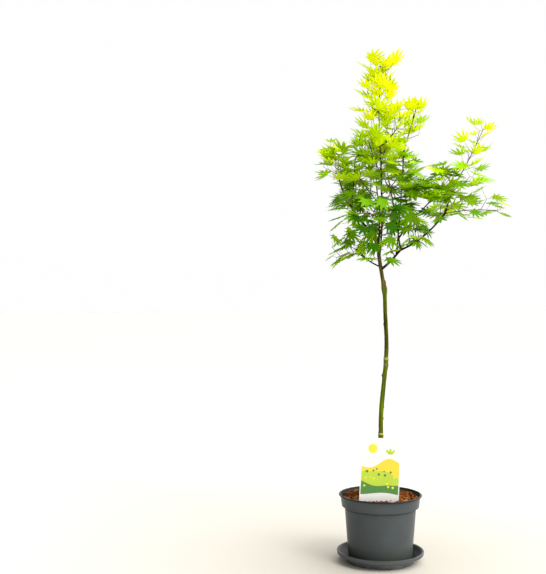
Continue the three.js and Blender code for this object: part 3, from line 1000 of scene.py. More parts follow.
    def tone(self, leaf: Leaf, age: float) -> Tone:
        """The colour of a leaf by its place: green inside and low, gold at the top and tips.

        Args:
            leaf: The leaf.
            age: As in keep.

        Returns:
            The tone.
        """
        place = leaf.middle()
        value = height = np.interp(place.z, self.tone_heights, self.tone_shares)
        for away, (span, gain) in ((place.x, self.sides), (place.y, self.depths)):
            value += np.interp(abs(away), span, (0, gain)) * (1 - height)
        value += self.tip_gain * (1 - age) + Draws(int(place.z * 1e5))(*self.chance)
        tones = list(Tone)
        return tones[min(len(tones) - 1, max(0, int(value * len(tones))))]

    def open_buds(self, shoot: Shoot) -> None:
        """Opens the buds that the solid shows as leaves or as side twigs.

        Args:
            shoot: The shoot.
        """
        for bud in self.buds(shoot):
            draw = Draws(bud.seed + 1000)
            if not bud.last and draw(0, 1) < shoot.side:
                self.open_twig(bud, shoot, draw)
                continue
            draw = Draws(bud.seed)
            for _ in range(self.attempts):
                leaf = self.leaf(bud, shoot, draw)
                if self.marked(leaf.tip(), self.leaf_mark):
                    self.keep(leaf, bud.age)
                    break

    def open_twig(self, bud: Bud, shoot: Shoot, draw: Draws) -> None:
        """Grows a bud's side twig where the solid shows it.

        Args:
            bud: The bud.
            shoot: Its shoot.
            draw: The bud's random numbers.
        """
        reach = shoot.line.length() * draw(*self.twig_reach)
        tip = bud.node + reach * self.way(bud, draw)
        if self.marked(tip, self.twig_mark):
            line = Bow(bud.node, tip)
            self.twigs.append(tube(line, self.side_radii, 5, 3))
            self.open_buds(Shoot(line, shoot.leaf * self.twig_leaf, bud.seed, pairs=1))

    def open_fine_buds(self, shoot: Shoot) -> None:
        """Grows the finer side twigs between the pairs, within the spray's own reach.

        Args:
            shoot: The shoot.
        """
        for bud in self.buds(shoot, shift=0.5, turn_by=45):
            draw = Draws(bud.seed + 5000)
            # The first number is passed over
            draw(0, 1)
            reach = shoot.leaf * draw(*self.fine_reach)
            line = Bow(bud.node, bud.node + reach * self.way(bud, draw))
            pairs = 2 if self.in_heart(bud.node) else 1
            fine = Shoot(line, shoot.leaf * draw(*self.fine_leaf), bud.seed + 7000, pairs)
            opened = self.fine_leaves(fine, draw)
            if opened:
                self.twigs.append(tube(line, self.fine_radii, 5, 3))
            for leaf in opened:
                self.keep(leaf, bud.age)

    def in_heart(self, place: Vector) -> bool:
        """Whether a place lies in the crown's heart."""
        low, high = self.heart
        return low < place.z < high and math.hypot(place.x, place.y) < self.heart_reach

    def fine_leaves(self, fine: Shoot, draw: Draws) -> list[Leaf]:
        """The leaves of a fine side twig that have room.

        Args:
            fine: The twig.
            draw: Its random numbers.

        Returns:
            The leaves.
        """
        opened = []
        for bud in self.buds(fine):
            for _ in range(self.fine_attempts):
                leaf = self.leaf(bud, fine, draw, self.hang)
                if self.has_room(leaf, opened):
                    opened.append(leaf)
                    break
        return opened

    def has_room(self, leaf: Leaf, others: Sequence[Leaf]) -> bool:
        """Whether a leaf stays in its spray's reach and clear of the other leaves.

        Args:
            leaf: The leaf.
            others: Leaves beside those that are kept.

        Returns:
            True if it does.
        """
        tip, middle, past = leaf.tip(), leaf.middle(), self.past_box
        low, high = self.box
        inside = all(low[i] - past <= tip[i] <= high[i] + past for i in range(3))
        return inside and all(
            (middle - other.middle()).length > self.room * 0.5 * (leaf.length + other.length)
            for other in (*self.leaves, *others)
        )


# Sub-assemblies


@dataclass
class Pot:
    """The round nursery pot: a tapered body, a stepped collar and a narrow lip."""

    # Radii at the foot, under the collar and at the collar
    foot: float = 0.099
    shoulder: float = 0.112
    collar: float = 0.121
    collar_depth: float = 0.039
    wall: float = 0.0026
    floor: float = 0.004
    lip_radius: float = 0.0022
    finish: PlasticFinish = PlasticFinish(
        # The greenish colour low down is a real stain; the dark band from 0.2045 up is painted shade at the
        # rim
        "pot_plastic", (0.068, 0.079, 0.084), (0.100, 0.112, 0.112), (0.082, 0.086, 0.040), 0.07, 0.2045
    )

    def build(self) -> None:
        """Builds the pot over its solid."""
        low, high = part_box("pot")
        top, lip = high.z, high.x
        collar = top - self.collar_depth
        lip_foot = top - 0.005
        inner_foot, inner_floor = self.foot - self.wall, low.z + self.floor
        profile = [
            (self.foot - 0.012, low.z + 0.0015),
            (self.foot - 0.010, low.z),
            *arc((self.foot - 0.003, low.z + 0.003), 0.003, -90, -8, 5),
            (self.shoulder - 0.0007, collar - 0.0055),
            (self.shoulder - 0.0017, collar - 0.0045),
            (self.shoulder - 0.0015, collar - 0.0020),
            *arc((self.collar - 0.002, collar + 0.003), 0.002, -75, 0, 4),
            (lip - 0.0056, lip_foot - 0.0012),
            (lip - 0.0050, lip_foot),
            *arc((lip - self.lip_radius, lip_foot + 0.0022), self.lip_radius, -80, 80, 7),
            *arc((lip - 0.0052, top - 0.0015), 0.0014, 85, 175, 4),
            (self.collar + 0.004 - self.wall, top - 0.006),
            (self.collar - self.wall, collar + 0.003),
            (self.shoulder - self.wall, collar),
            (inner_foot, inner_floor + 0.003),
            (inner_foot - 0.004, inner_floor),
            (0.004, inner_floor),
        ]
        dress(settle(turned("pot_moulding", profile)), self.finish, "pot", "pot")


@dataclass
class Saucer:
    """The saucer: a flat foot, a flared flank and a rolled lip."""

    # Radii of the flat foot and of the flank's upper edge
    foot: float = 0.104
    flank: float = 0.120
    lip_depth: float = 0.013
    floor: float = 0.003
    finish: PlasticFinish = PlasticFinish(
        # The light grey near the foot is painted bounce light from the floor
        "saucer_plastic", (0.084, 0.094, 0.098), (0.105, 0.112, 0.112), (0.20, 0.20, 0.19), 0.024, 0.05,
        # Painted shade on the upper side inside the saucer, out to this radius
        shaded_reach=0.1292,
    )

    def build(self) -> None:
        """Builds the saucer over its solid."""
        _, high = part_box("saucer")
        lip, top = high.x, high.z
        lip_foot = top - self.lip_depth
        profile = [
            (self.foot - 0.006, 0.0),
            *arc((self.foot - 0.001, 0.003), 0.003, -90, -30, 3),
            (self.flank, lip_foot - 0.001),
            (lip - 0.007, lip_foot + 0.0005),
            *arc((lip - 0.0035, lip_foot + 0.0035), 0.0025, -75, 0, 4),
            (lip - 0.0009, top - 0.0042),
            *arc((lip - 0.0022, top - 0.0026), 0.0022, -25, 120, 7),
            (lip - 0.0062, top - 0.0012),
            (lip - 0.0075, top - 0.0028),
            (self.flank + 0.004, lip_foot + 0.0015),
            (self.flank, lip_foot - 0.001),
            (self.foot + 0.003, self.floor + 0.0035),
            (self.foot - 0.001, self.floor),
            (self.foot - 0.010, self.floor),
            (0.004, self.floor),
        ]
        dress(settle(turned("saucer_moulding", profile)), self.finish, "saucer", "saucer")


@dataclass
class Compost:
    """The compost, covered with bark chips."""

    chips: int = 1100
    chip: float = 0.014
    # The chips' spread in size, and how much smaller they are within a strip along the pot's wall
    spread: Pair = (0.5, 1.15)
    wall_strip: float = 0.012
    wall_share: float = 0.7
    # How far the bed falls towards the pot's wall, how deep or high a chip lies, and its tilt
    fall: float = 0.003
    lie: Pair = (-0.001, 0.0045)
    tilt: float = 0.45
    roll: float = 0.35
    # The chips' angle from one to the next, which spreads them evenly
    step: float = math.radians(137.5)
    shapes: int = 4
    stem_room: float = 0.011
    bed_rings: int = 9
    bed_depth: float = 0.024
    roughness: float = 0.0016
    bed: ChipFinish = ChipFinish("compost_soil", (0.020, 0.008, 0.004), (0.085, 0.032, 0.014))
    tones: tuple[ChipFinish, ...] = (
        ChipFinish("chip_dark", (0.035, 0.010, 0.003), (0.13, 0.040, 0.008)),
        ChipFinish("chip_red", (0.12, 0.030, 0.004), (0.38, 0.115, 0.016)),
        ChipFinish("chip_tan", (0.24, 0.090, 0.020), (0.52, 0.25, 0.080)),
    )
    # The tones in the order in which they are drawn, the dark and the red three times as often
    deal: tuple[int, ...] = (0, 1, 0, 1, 0, 1, 2)

    def build(self) -> None:
        """Builds the bed and the chips."""
        _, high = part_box("compost")
        edge = high.x - 0.0008
        self._bed(edge, high.z)
        shapes = [self._chip_shape(seed + 1) for seed in range(self.shapes)]
        dealt: list[list[Mesh]] = [[] for _ in self.tones]
        draw = Draws(77)
        for i in range(self.chips):
            out = (edge - 0.005) * math.sqrt((i + 0.5) / self.chips)
            turn = i * self.step + draw(-0.2, 0.2)
            if out < self.stem_room:
                continue
            size = self.chip * draw(*self.spread) * (1 if out < edge - self.wall_strip else self.wall_share)
            lift = high.z - self.fall * out / edge + draw(*self.lie)
            points, faces = shapes[i % self.shapes]
            place = (
                Matrix.Translation((out * math.cos(turn), out * math.sin(turn), lift))
                @ Matrix.Rotation(draw(0, 6.28), 4, "Z")
                @ Matrix.Rotation(draw(-self.tilt, self.tilt), 4, "X")
                @ Matrix.Rotation(draw(-self.roll, self.roll), 4, "Y")
            )
            laid = points * size @ np.array(place.to_3x3()).T + np.array(place.translation)
            dealt[self.deal[int(draw(0, len(self.deal) - 0.001))]].append((laid, faces))
        for finish, parts in zip(self.tones, dealt):
            dress(joined(f"bark_{finish.name}s", parts, 25), finish, "compost", "compost")

    def _bed(self, edge: float, top: float) -> None:
        """The rough bed between the chips.

        Args:
            edge: Its radius.
            top: Its height.
        """
        bpy.ops.mesh.primitive_cylinder_add(
            vertices=64, radius=edge, depth=self.bed_depth, location=(0, 0, top - 0.0165)
        )
        piece = name_piece("compost_bed")
        with editing(piece):
            choose("faces", lambda middle: middle.z > 0.4 * self.bed_depth)
            for _ in range(self.bed_rings):
                bpy.ops.mesh.inset(thickness=edge / (self.bed_rings + 2), depth=0)
            choose("faces", lambda middle: middle.z > 0.4 * self.bed_depth)
            bpy.ops.transform.vertex_random(offset=self.roughness, seed=5)
        dress(settle(piece, 30), self.bed, "compost", "compost")

    def _chip_shape(self, seed: int) -> Mesh:
        """A flake of bark, one long.

        Args:
            seed: Says how it is broken.

        Returns:
            Its points and triangles.
        """
        bpy.ops.mesh.primitive_cube_add(size=1)
        piece = name_piece("chip")
        with editing(piece):
            bpy.ops.transform.resize(value=(1, 0.55 + 0.08 * seed, 0.2))
            for at, way in (((0.34, 0.1, 0), (1, 0.8, 0.2)), ((-0.3, 0.05, 0), (-1, 0.5 * seed - 1, 0.3))):
                bpy.ops.mesh.select_all(action="SELECT")
                bpy.ops.mesh.bisect(plane_co=at, plane_no=way, use_fill=True, clear_outer=True)
            bpy.ops.mesh.select_all(action="SELECT")
            bpy.ops.transform.vertex_random(offset=0.05, seed=seed)
            face_outward()
        return pattern(piece)


@dataclass
class Label:
    """The stick-in plant label, printed with plain hills under a sun."""

    width: float = 0.121
    height: float = 0.197
    thick: float = 0.0009
    corner: float = 0.004
    # The lengths of the spike's two stretches, down to its point
    spike: Pair = (0.019, 0.018)
    print_thick: float = 0.00015
    inks: tuple[tuple[str, Colour], ...] = (
        ("white", (0.80, 0.80, 0.76)),
        ("gold", (0.80, 0.62, 0.03)),
        ("lime", (0.45, 0.60, 0.03)),
        ("green", (0.06, 0.22, 0.03)),
        ("sun", (0.85, 0.70, 0.03)),
    )
    # The place of the card's foot, and how far it leans aside and stands up, in degrees
    at: Triple = (-0.014, -0.084, 0.199)
    aside: float = 3.3
    upright: float = 86

    def build(self) -> None:
        """Builds the card, its spike and its print."""
        self._card()
        self._hill("gold", 0.070, 0.118, 0.013, 0.4, 0)
        self._hill("lime", 0.055, 0.088, 0.011, 2.2, 1)
        self._hill("green", 0.046, 0.058, 0.007, 4.3, 2)
        self._disc("label_sun", "sun", (-0.026, 0.164), 0.014, 40)
        for i, turn in enumerate((-38, 0, 38)):
            self._disc(f"label_oval_{i}", "lime", (0.028, 0.146), 0.009, 24, 0.42, 0.012, turn)
        self._meadow("green", (0.072, 0.110), 0.0050, 3)
        self._meadow("sun", (0.040, 0.092), 0.0040, 4)

    def _set(self, piece: Piece, ink: str, *nodes: str) -> None:
        """Puts a piece of the label in its leaning place, and dresses it.

        Args:
            piece: The piece, drawn in the card's own plane.
            ink: Its colour.
            nodes: The solids that it stands for.
        """
        piece.matrix_world = (
            Matrix.Translation(self.at)
            @ Matrix.Rotation(math.radians(self.aside), 4, "Y")
            @ Matrix.Rotation(math.radians(self.upright), 4, "X")
        )
        finish = PlainFinish(f"label_{ink}", dict(self.inks)[ink], 0.32, 0.5)
        dress(settle(piece, 30), finish, "label", *nodes)

    def _card(self) -> None:
        """The card and the spike under it."""
        side, top = 0.4 * self.width, self.height - 0.007
        bpy.ops.mesh.primitive_cube_add(size=1)
        piece = name_piece("label_card")
        with editing(piece):
            bpy.ops.transform.resize(value=(self.width, self.height, self.thick))
            bpy.ops.transform.translate(value=(0, self.height / 2, 0))
            choose("edges", lambda middle: abs(middle.x) > side and middle.y > top and abs(middle.z) < 1e-5)
            bpy.ops.mesh.bevel(offset=self.corner, segments=5)
            choose("faces", lambda middle: middle.y < 1e-5)
            bpy.ops.mesh.inset(thickness=0.0002)
            bpy.ops.transform.resize(value=(0.22, 1, 1))
            for reach in self.spike:
                push(0, -reach, 0)
            bpy.ops.transform.resize(value=(0.1, 1, 1))
        self._set(piece, "white", "label")

    def _hill(self, ink: str, low: float, high: float, swell: float, start: float, order: int) -> None:
        """A printed hill across the card.

        Args:
            ink: Its colour.
            low: The height of its foot.
            high: The height of its middle.
            swell: How far its top swings.
            start: Where the swing starts, in radians.
            order: 0 for the one furthest back.
        """
        bpy.ops.mesh.primitive_grid_add(x_subdivisions=24, y_subdivisions=1, size=1)
        piece = name_piece(f"label_hill_{ink}")
        for vertex in piece.data.vertices:
            x = (self.width - 0.006) * vertex.co.x
            top = high + swell * math.sin(start + 34 * x) + 0.4 * swell * math.sin(71 * x)
            foot = low - 0.018 + 0.004 * math.sin(40 * x + 1)
            vertex.co = (x, top if vertex.co.y > 0 else foot, 0)
        self._print(piece, ink, order)

    def _disc(
        self,
        name: str,
        ink: str,
        root: Pair,
        radius: float,
        sides: int,
        narrow: float = 1,
        out: float = 0,
        turn: float = 0,
    ) -> None:
        """A printed disc or oval.

        Args:
            name: Its name.
            ink: Its colour.
            root: The point of the card that it is turned about.
            radius: Half its length.
            sides: The number of its sides.
            narrow: Its width as a share of its length.
            out: How far its middle lies from the root.
            turn: Its turn in degrees.
        """
        bpy.ops.mesh.primitive_circle_add(vertices=sides, radius=radius, fill_type="NGON")
        piece = name_piece(name)
        with editing(piece):
            bpy.ops.transform.resize(value=(narrow, 1, 1))
            bpy.ops.transform.translate(value=(0, out, 0))
        piece.matrix_world = Matrix.Translation((*root, 0)) @ Matrix.Rotation(math.radians(turn), 4, "Z")
        self._print(settle(piece), ink, 0)

    def _print(self, piece: Piece, ink: str, order: int) -> None:
        """Gives a flat shape its thickness and lays it on the card.

        Args:
            piece: The flat shape.
            ink: Its colour.
            order: 0 for the layer next to the card.
        """
        face = self.thick / 2 + order * self.print_thick
        with editing(piece):
            bpy.ops.transform.translate(value=(0, 0, face - self.print_thick))
            push(0, 0, 2 * self.print_thick)
            face_outward()
        self._set(piece, ink)

    def _meadow(self, ink: str, span: Pair, size: float, order: int) -> None:
        """Printed dots over the hills, like flowers in a meadow.

        Args:
            ink: Their colour.
            span: The heights between which they lie.
            size: Their radius.
            order: As for a hill.
        """
        bpy.ops.mesh.primitive_circle_add(vertices=9, radius=1, fill_type="NGON")
        piece = name_piece("label_dot")
        with editing(piece):
            push(0, 0, 1)
            face_outward()
        points, faces = pattern(piece)
        draw = Draws(order)
        step = 3.6 * size
        depth = (order + 1) * self.print_thick
        parts = []
        for column in range(int((self.width - 0.014) / step)):
            for row in range(int((span[1] - span[0]) / step)):
                x = 0.008 - self.width / 2 + (column + draw(0.2, 0.8)) * step
                y = span[0] + (row + draw(0.2, 0.8)) * step
                radius = size * draw(0.5, 1.0)
                if draw(0, 1) < 0.6:
                    place = (x, y, self.thick / 2 - self.print_thick)
                    parts.append((points * (radius, radius, depth + self.print_thick) + place, faces))
        self._set(joined(f"label_dots_{ink}", parts, 30), ink)


@dataclass
class Wood:
    """The stem and the boughs, with the relief of their bark."""

    # Each bend of the stem's line: height, x and y
    bends: tuple[Triple, ...] = (
        (0.2028, 0.0, 0.0),
        (0.430, 0.002, 0.0),
        (0.675, 0.020, 0.003),
        (0.810, 0.015, 0.0),
        (1.000, -0.007, 0.0),
        (1.062, 0.008, 0.002),
        (1.180, 0.004, 0.003),
        (1.400, -0.004, 0.0),
    )
    # The height of the fork, where the stem narrows to its leader
    fork: float = 1.004
    foot_radius: float = 0.0080
    fork_radius: float = 0.0056
    leader_radius: float = 0.0034
    tip_radius: float = 0.0017
    flare: float = 0.0055
    flare_height: float = 0.014
    graft: float = 0.853
    # Swellings at old joints: height, how far they stand out, half length
    joints: tuple[Triple, ...] = (
        (0.398, 0.0008, 0.004),
        (0.392, 0.0009, 0.009),
        (0.634, 0.0008, 0.004),
        (0.628, 0.0009, 0.009),
    )
    # How far they stand out and their half length: the graft's callus, and for a bough, by the share
    # of its line, the collar at its root and the knuckle at its tip
    callus: Pair = (0.0028, 0.016)
    collar: Pair = (0.0012, 0.07)
    knuckle: Pair = (0.0004, 0.04)
    # Stubs of old side shoots: height, angle round the stem, how far they stand out, half length
    stubs: tuple[tuple[float, float, float, float], ...] = (
        (0.446, 1.4, 0.0022, 0.0030),
        (0.482, 1.2, 0.0026, 0.0035),
        (0.581, -1.8, 0.0034, 0.0055),
        (0.612, 1.9, 0.0022, 0.0080),
        (0.742, -1.2, 0.0018, 0.0040),
        (0.874, 2.2, 0.0030, 0.0070),
    )
    stem_finish: BarkFinish = BarkFinish(
        "stem_bark",
        (0.034, 0.030, 0.002),
        (0.138, 0.190, 0.002),
        (0.34, 0.33, 0.10),
        (
            (0.398, 0.0026, (0.46, 0.43, 0.15)),
            (0.634, 0.0036, (0.31, 0.32, 0.06)),
            (0.616, 0.0060, (0.12, 0.15, 0.045)),
        ),
        0.853,
    )
    bough_finish: BarkFinish = BarkFinish(
        "bough_bark", (0.008, 0.005, 0.002), (0.040, 0.024, 0.009), (0.10, 0.07, 0.035)
    )

    def __post_init__(self) -> None:
        """Lays out the lines of the stem and the boughs."""
        self.lines: dict[str, Line] = {"stem": StemLine(self.bends)}
        for limb in LIMBS:
            self.lines[limb.name] = self.line_of(limb)

    def line_of(self, wood: Limb | Spray) -> Bow:
        """The line of a bough or a spray, from the middle of the wood that it leaves.

        Args:
            wood: The bough or the spray.

        Returns:
            Its line.
        """
        line = self.lines[wood.on]
        root = line.at(wood.leave) if wood.on == "stem" else line.point(wood.leave)
        return Bow(root, Vector(wood.tip), wood.bow)

    def stem_radius(self, height: float, turn: float) -> float:
        """The stem's radius with its flare, swellings and stubs.

        Args:
            height: The height over the floor.
            turn: The angle round the stem.

        Returns:
            The radius.
        """
        foot, top = self.bends[0][0], self.bends[-1][0]
        lower = np.interp(height, (foot, self.fork), (self.foot_radius, self.fork_radius))
        upper = np.interp(height, (self.fork, top), (self.leader_radius, self.tip_radius))
        past = min(1, max(0, (height - self.fork + 0.008) / 0.026))
        past = past * past * (3 - 2 * past)
        flare = self.flare * math.exp((foot - height) / self.flare_height)
        flare *= 1 + 0.3 * math.cos(4 * turn)
        rings = sum(out * swell(height - z, half) for z, out, half in self.joints)
        out, half = self.callus
        callus = out * swell(height - self.graft, half) * (1 + 0.45 * math.cos(turn - 0.6))
        stubs = sum(
            out * swell(height - z, half) * swell(math.remainder(turn - at, 2 * math.pi), 0.45)
            for z, at, out, half in self.stubs
        )
        return float(lower + past * (upper - lower) + flare + rings + callus + stubs)

    def relief(self, place: Vector, turn: float, radius: float) -> float:
        """How far the bark stands out at a place, in long ridges and small knobs.

        Args:
            place: The place.
            turn: The angle round the limb.
            radius: The limb's radius.

        Returns:
            The height of the relief.
        """
        ridge = noise.noise(Vector((2.2 * math.cos(turn), 2.2 * math.sin(turn), place.z * 22)))
        knob = noise.noise(place * 110)
        return radius * (0.06 * ridge + 0.05 * max(0, knob - 0.15))

    def limb_mesh(
        self, name: str, line: Line, radius_at: Callable[[float, float], float], sides: int, rings: int
    ) -> Piece:
        """A limb, drawn from a cylinder along its line.

        Args:
            name: Its name.
            line: Its line.
            radius_at: The radius by the share of the line and the angle round it.
            sides: The number of its sides.
            rings: The number of its rings.

        Returns:
            The piece.
        """
        bpy.ops.mesh.primitive_cylinder_add(vertices=sides, radius=1, depth=1, end_fill_type="NGON")
        piece = name_piece(name)
        with editing(piece):
            choose("edges", lambda middle: abs(middle.z) < 0.1)
            bpy.ops.mesh.subdivide_edgering(number_cuts=rings - 1)
        reference = reference_for((line.point(1) - line.point(0)).normalized())
        frames: dict[float, tuple[Vector, Vector, Vector]] = {}
        for vertex in piece.data.vertices:
            t = min(1.0, max(0.0, round(vertex.co.z + 0.5, 5)))
            if t not in frames:
                frames[t] = (line.point(t), *across(line.tangent(t), reference))
            point, side, over = frames[t]
            turn = math.atan2(vertex.co.y, vertex.co.x)
            radius = radius_at(t, turn)
            radius += self.relief(point, turn, radius)
            vertex.co = point + radius * (math.cos(turn) * side + math.sin(turn) * over)
        with editing(piece):
            face_outward()
        return piece

    def build(self) -> None:
        """Builds the stem and the boughs."""
        foot, top = self.bends[0][0], self.bends[-1][0]

        def radius_at(t: float, turn: float) -> float:
            """The stem's radius at a share of its line."""
            return self.stem_radius(foot + t * (top - foot), turn)

        stem = self.limb_mesh("stem_bark", self.lines["stem"], radius_at, sides=28, rings=600)
        dress(settle(stem), self.stem_finish, "stem", "stem")
        limbs = [self._bough(limb) for limb in LIMBS]
        deselect()
        for limb in limbs:
            limb.select_set(True)
        bpy.context.view_layer.objects.active = limbs[0]
        bpy.ops.object.join()
        piece = settle(name_piece("bough_bark"))
        dress(piece, self.bough_finish, "boughs", *[limb.name for limb in LIMBS])

    def _bough(self, limb: Limb) -> Piece:
        """One bough, with a collar where it leaves its wood and a knuckle at its tip.

        Args:
            limb: The bough.

        Returns:
            Its piece.
        """
        line = self.lines[limb.name]
        root, tip = limb.radii

        def radius_at(t: float, turn: float) -> float:
            """The bough's radius at a share of its line."""
            collar = self.collar[0] * swell(t, self.collar[1])
            return root + t * (tip - root) + collar + self.knuckle[0] * swell(t - 0.98, self.knuckle[1])

        rings = max(24, int(line.length() / 0.003))
        return self.limb_mesh(f"bough_{limb.name}", line, radius_at, sides=14, rings=rings)


@dataclass
class Foliage:
    """The leaves: one blade, modelled once and bent to each leaf's place."""

    # Angle from the middle lobe and reach of each lobe on one side
    lobes: tuple[Pair, ...] = ((0, 1.0), (27, 0.97), (54, 0.89), (83, 0.76), (118, 0.55))
    # How far a notch between two lobes and a lobe's two shoulders reach, as shares of the lobe
    notch: float = 0.46
    shoulder: float = 0.74
    # Lobes up to this angle swell between notch and tip, those beyond are plain points
    swelling: float = 60
    thick: float = 0.010
    crease: float = 0.035
    # How much one leaf's bowl and crease differ from the next one's
    bowls: Pair = (0.75, 1.35)
    creases: Pair = (0.8, 1.5)

    def outline(self) -> list[tuple[float, float, bool]]:
        """Angle and reach of each rim point, and whether it is a lobe's tip.

        Returns:
            The points in order.
        """
        half = [(0.0, 1.0, True)]
        for (angle, reach), (next_angle, next_reach) in pairwise(self.lobes):
            gap = next_angle - angle
            swells = next_angle < self.swelling
            if swells:
                half.append((angle + 0.26 * gap, self.shoulder * reach, False))
            half.append((angle + 0.5 * gap, self.notch * min(reach, next_reach), False))
            if swells:
                half.append((angle + 0.74 * gap, self.shoulder * next_reach, False))
            half.append((next_angle, next_reach, True))
        half.append((self.lobes[-1][0] + 40, 0.16, False))
        return half + [(-angle, reach, tip) for angle, reach, tip in half[:0:-1]]

    def blade(self) -> tuple[np.ndarray, np.ndarray, np.ndarray]:
        """Models the flat blade.

        Returns:
            Its points, its triangles, and the height of the crease at each point.
        """
        rim = self.outline()
        bpy.ops.mesh.primitive_circle_add(vertices=len(rim), radius=1, fill_type="TRIFAN")
        piece = name_piece("blade")
        order = {}
        for vertex in piece.data.vertices:
            if vertex.co.length < 0.5:
                vertex.co = (0.0, 0.0, self.thick)
                continue
            place = math.atan2(vertex.co.y, vertex.co.x) / (2 * math.pi) % 1
            order[vertex.index] = round(place * len(rim)) % len(rim)
        first = order[min(order)]
        for index, spot in order.items():
            angle, reach, _ = rim[(spot - first) % len(rim)]
            piece.data.vertices[index].co = (*self._spot(angle, reach), 0)
        with editing(piece):
            bpy.ops.mesh.duplicate()
            bpy.ops.transform.resize(value=(1, 1, -1), center_override=(0, 0, 0))
            bpy.ops.mesh.select_all(action="SELECT")
            bpy.ops.mesh.remove_doubles(threshold=1e-4)
            face_outward()
        points, faces = pattern(piece)
        tips = np.array([self._spot(angle, reach) for angle, reach, tip in rim if tip])
        apart = np.linalg.norm(points[:, None, :2] - tips[None], axis=2).min(axis=1)
        crease = np.where((apart < 1e-4) | (abs(points[:, 2]) > 1e-4), 0.0, self.crease)
        return points, faces, crease

    def _spot(self, angle: float, reach: float) -> Pair:
        """The place of a rim point from its angle in degrees and its reach."""
        return reach * math.cos(math.radians(angle)), reach * math.sin(math.radians(angle))

    def bent(self, leaf: Leaf, points: np.ndarray, crease: np.ndarray) -> np.ndarray:
        """The blade's points in a leaf's place.

        Args:
            leaf: The leaf.
            points: The flat blade's points.
            crease: The height of the crease at each.

        Returns:
            The points.
        """
        x, y, z = points.T
        reach = x * x + y * y
        draw = Draws(int(leaf.heel.z * 1e6) + int(abs(leaf.heel.x) * 1e5))
        bowl = leaf.bowl() * draw(*self.bowls)
        rise = z + crease * draw(*self.creases) + bowl * reach * (1.25 - 0.25 * reach)
        narrowed = 1 - 0.25 * abs(bowl)
        above = leaf.above()
        basis = np.array([leaf.axis, above.cross(leaf.axis), above])
        return np.stack([x * narrowed, y * narrowed, rise], 1) * leaf.length @ basis + np.array(leaf.heel)

    def build(self, growth: Growth) -> None:
        """Builds the leaves, a piece for each tone.

        Args:
            growth: The grown crown.
        """
        points, faces, crease = self.blade()
        for tone in Tone:
            parts = [
                (self.bent(leaf, points, crease), faces) for leaf in growth.leaves if leaf.tone is tone
            ]
            if parts:
                piece = joined(f"leaves_{tone.name.lower()}", parts, 24)
                dress(piece, tone.finish(), tone.value[0], *sorted(growth.owners[tone]))


@dataclass
class Crown:
    """The crown: finer twigs, stalks and leaves on the boughs."""

    wood: Wood
    twig_finish: PlainFinish = PlainFinish("twig_bark", (0.040, 0.016, 0.008), 0.5, 0.1)
    stalk_finish: PlainFinish = PlainFinish("stalk_skin", (0.32, 0.20, 0.03), 0.45)

    def build(self) -> None:
        """Grows the sprays and builds their twigs, stalks and leaves."""
        growth = Growth()
        for spray in SPRAYS:
            growth.spray(spray, self.wood.line_of(spray))
        names = [spray.name for spray in SPRAYS]
        dress(joined("twigs", growth.twigs, 60), self.twig_finish, "boughs", *names)
        dress(joined("leaf_stalks", growth.stalks, 60), self.stalk_finish, "boughs")
        Foliage().build(growth)
        log.info("%d leaves in all", len(growth.leaves))


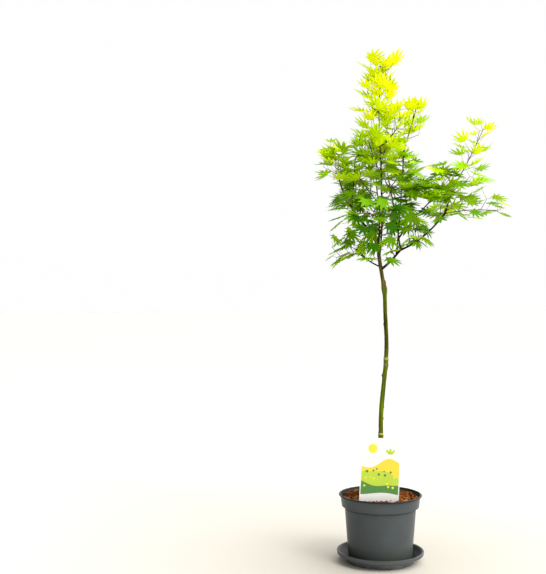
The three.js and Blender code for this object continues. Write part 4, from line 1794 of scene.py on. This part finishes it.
@dataclass
class Studio:
    """The floor, the light and the camera of the photograph's view."""

    eye: Triple = (-0.337, -3.029, 0.859)
    # What the lights are turned to
    aim: Triple = (0, 0, 0.9)
    # The lens: its focal length and the picture's long side in pixels, and the sensor in millimetres
    focal_pixels: float = 964
    long_side: float = 574
    sensor: float = 36
    # Each light's name, place, width in metres and power in watts
    lights: tuple[tuple[str, Triple, float, float], ...] = (
        ("key", (1.9, -2.2, 3.0), 1.6, 64),
        ("fill", (-2.6, -1.6, 2.2), 2.4, 6),
        ("top", (0.3, 0.6, 3.6), 2.0, 26),
    )
    # How bright the air is on the left and on the right, where it lights the plant
    air: Pair = (0.1, 2.0)

    def build(self) -> None:
        """Sets up the studio."""
        self._camera()
        bpy.ops.mesh.primitive_circle_add(
            vertices=96, radius=30, fill_type="NGON", location=(0, 0, -0.0002)
        )
        floor = name_piece("floor")
        floor.data.materials.append(PaperFinish("floor_paper").make())
        for name, place, size, power in self.lights:
            data = bpy.data.lights.new(name, "AREA")
            data.size = size
            data.energy = power
            light = self._put(data, place)
            turn = (Vector(self.aim) - light.location).to_track_quat("-Z", "Y")
            light.rotation_euler = turn.to_euler()
        self._air()
        bpy.context.scene.view_settings.view_transform = "Standard"

    def _put(self, data: bpy.types.ID, place: Sequence[float]) -> Piece:
        """Puts a light or a camera into the scene.

        Args:
            data: The light or the camera.
            place: Its place.

        Returns:
            Its object.
        """
        thing = bpy.data.objects.new(data.name, data)
        thing.location = place
        bpy.context.scene.collection.objects.link(thing)
        return thing

    def _camera(self) -> None:
        """The camera, level, at the photograph's place."""
        data = bpy.data.cameras.new("camera")
        data.sensor_width = self.sensor
        data.lens = self.focal_pixels / self.long_side * self.sensor
        camera = self._put(data, self.eye)
        camera.rotation_euler = (math.radians(90), 0, 0)
        bpy.context.scene.camera = camera

    def _air(self) -> None:
        """The air: plain white to look at, and dim on the left where it lights the plant."""
        world = bpy.data.worlds.new("studio_air")
        bpy.context.scene.world = world
        mixer = Mixer(world, "Background")
        mixer.feed(mixer.shader, {"Color": (0.996, 0.996, 0.994, 1), "Strength": 1.0})
        left, right = self.air
        toward = mixer.axis(mixer.add("TexCoord", {}, "Generated"), "X")
        span = {"From Min": -0.6, "From Max": 0.6, "To Min": left, "To Max": right}
        strength = mixer.add("MapRange", {"Value": toward, **span})
        glow = mixer.add("Background", {"Color": (1.0, 0.985, 0.96, 1), "Strength": strength})
        seen = mixer.add("LightPath", {}, "Is Camera Ray")
        both = mixer.add("MixShader", {0: seen, 1: glow, 2: mixer.shader.outputs[0]})
        mixer.feed(mixer.tree.nodes["World Output"], {"Surface": both})


def main() -> None:
    """Builds the plant piece by piece."""
    logging.basicConfig(level=logging.INFO, format="%(message)s")
    deselect()
    Studio().build()
    Saucer().build()
    Pot().build()
    Compost().build()
    Label().build()
    wood = Wood()
    wood.build()
    Crown(wood).build()


if __name__ == "__main__":
    main()
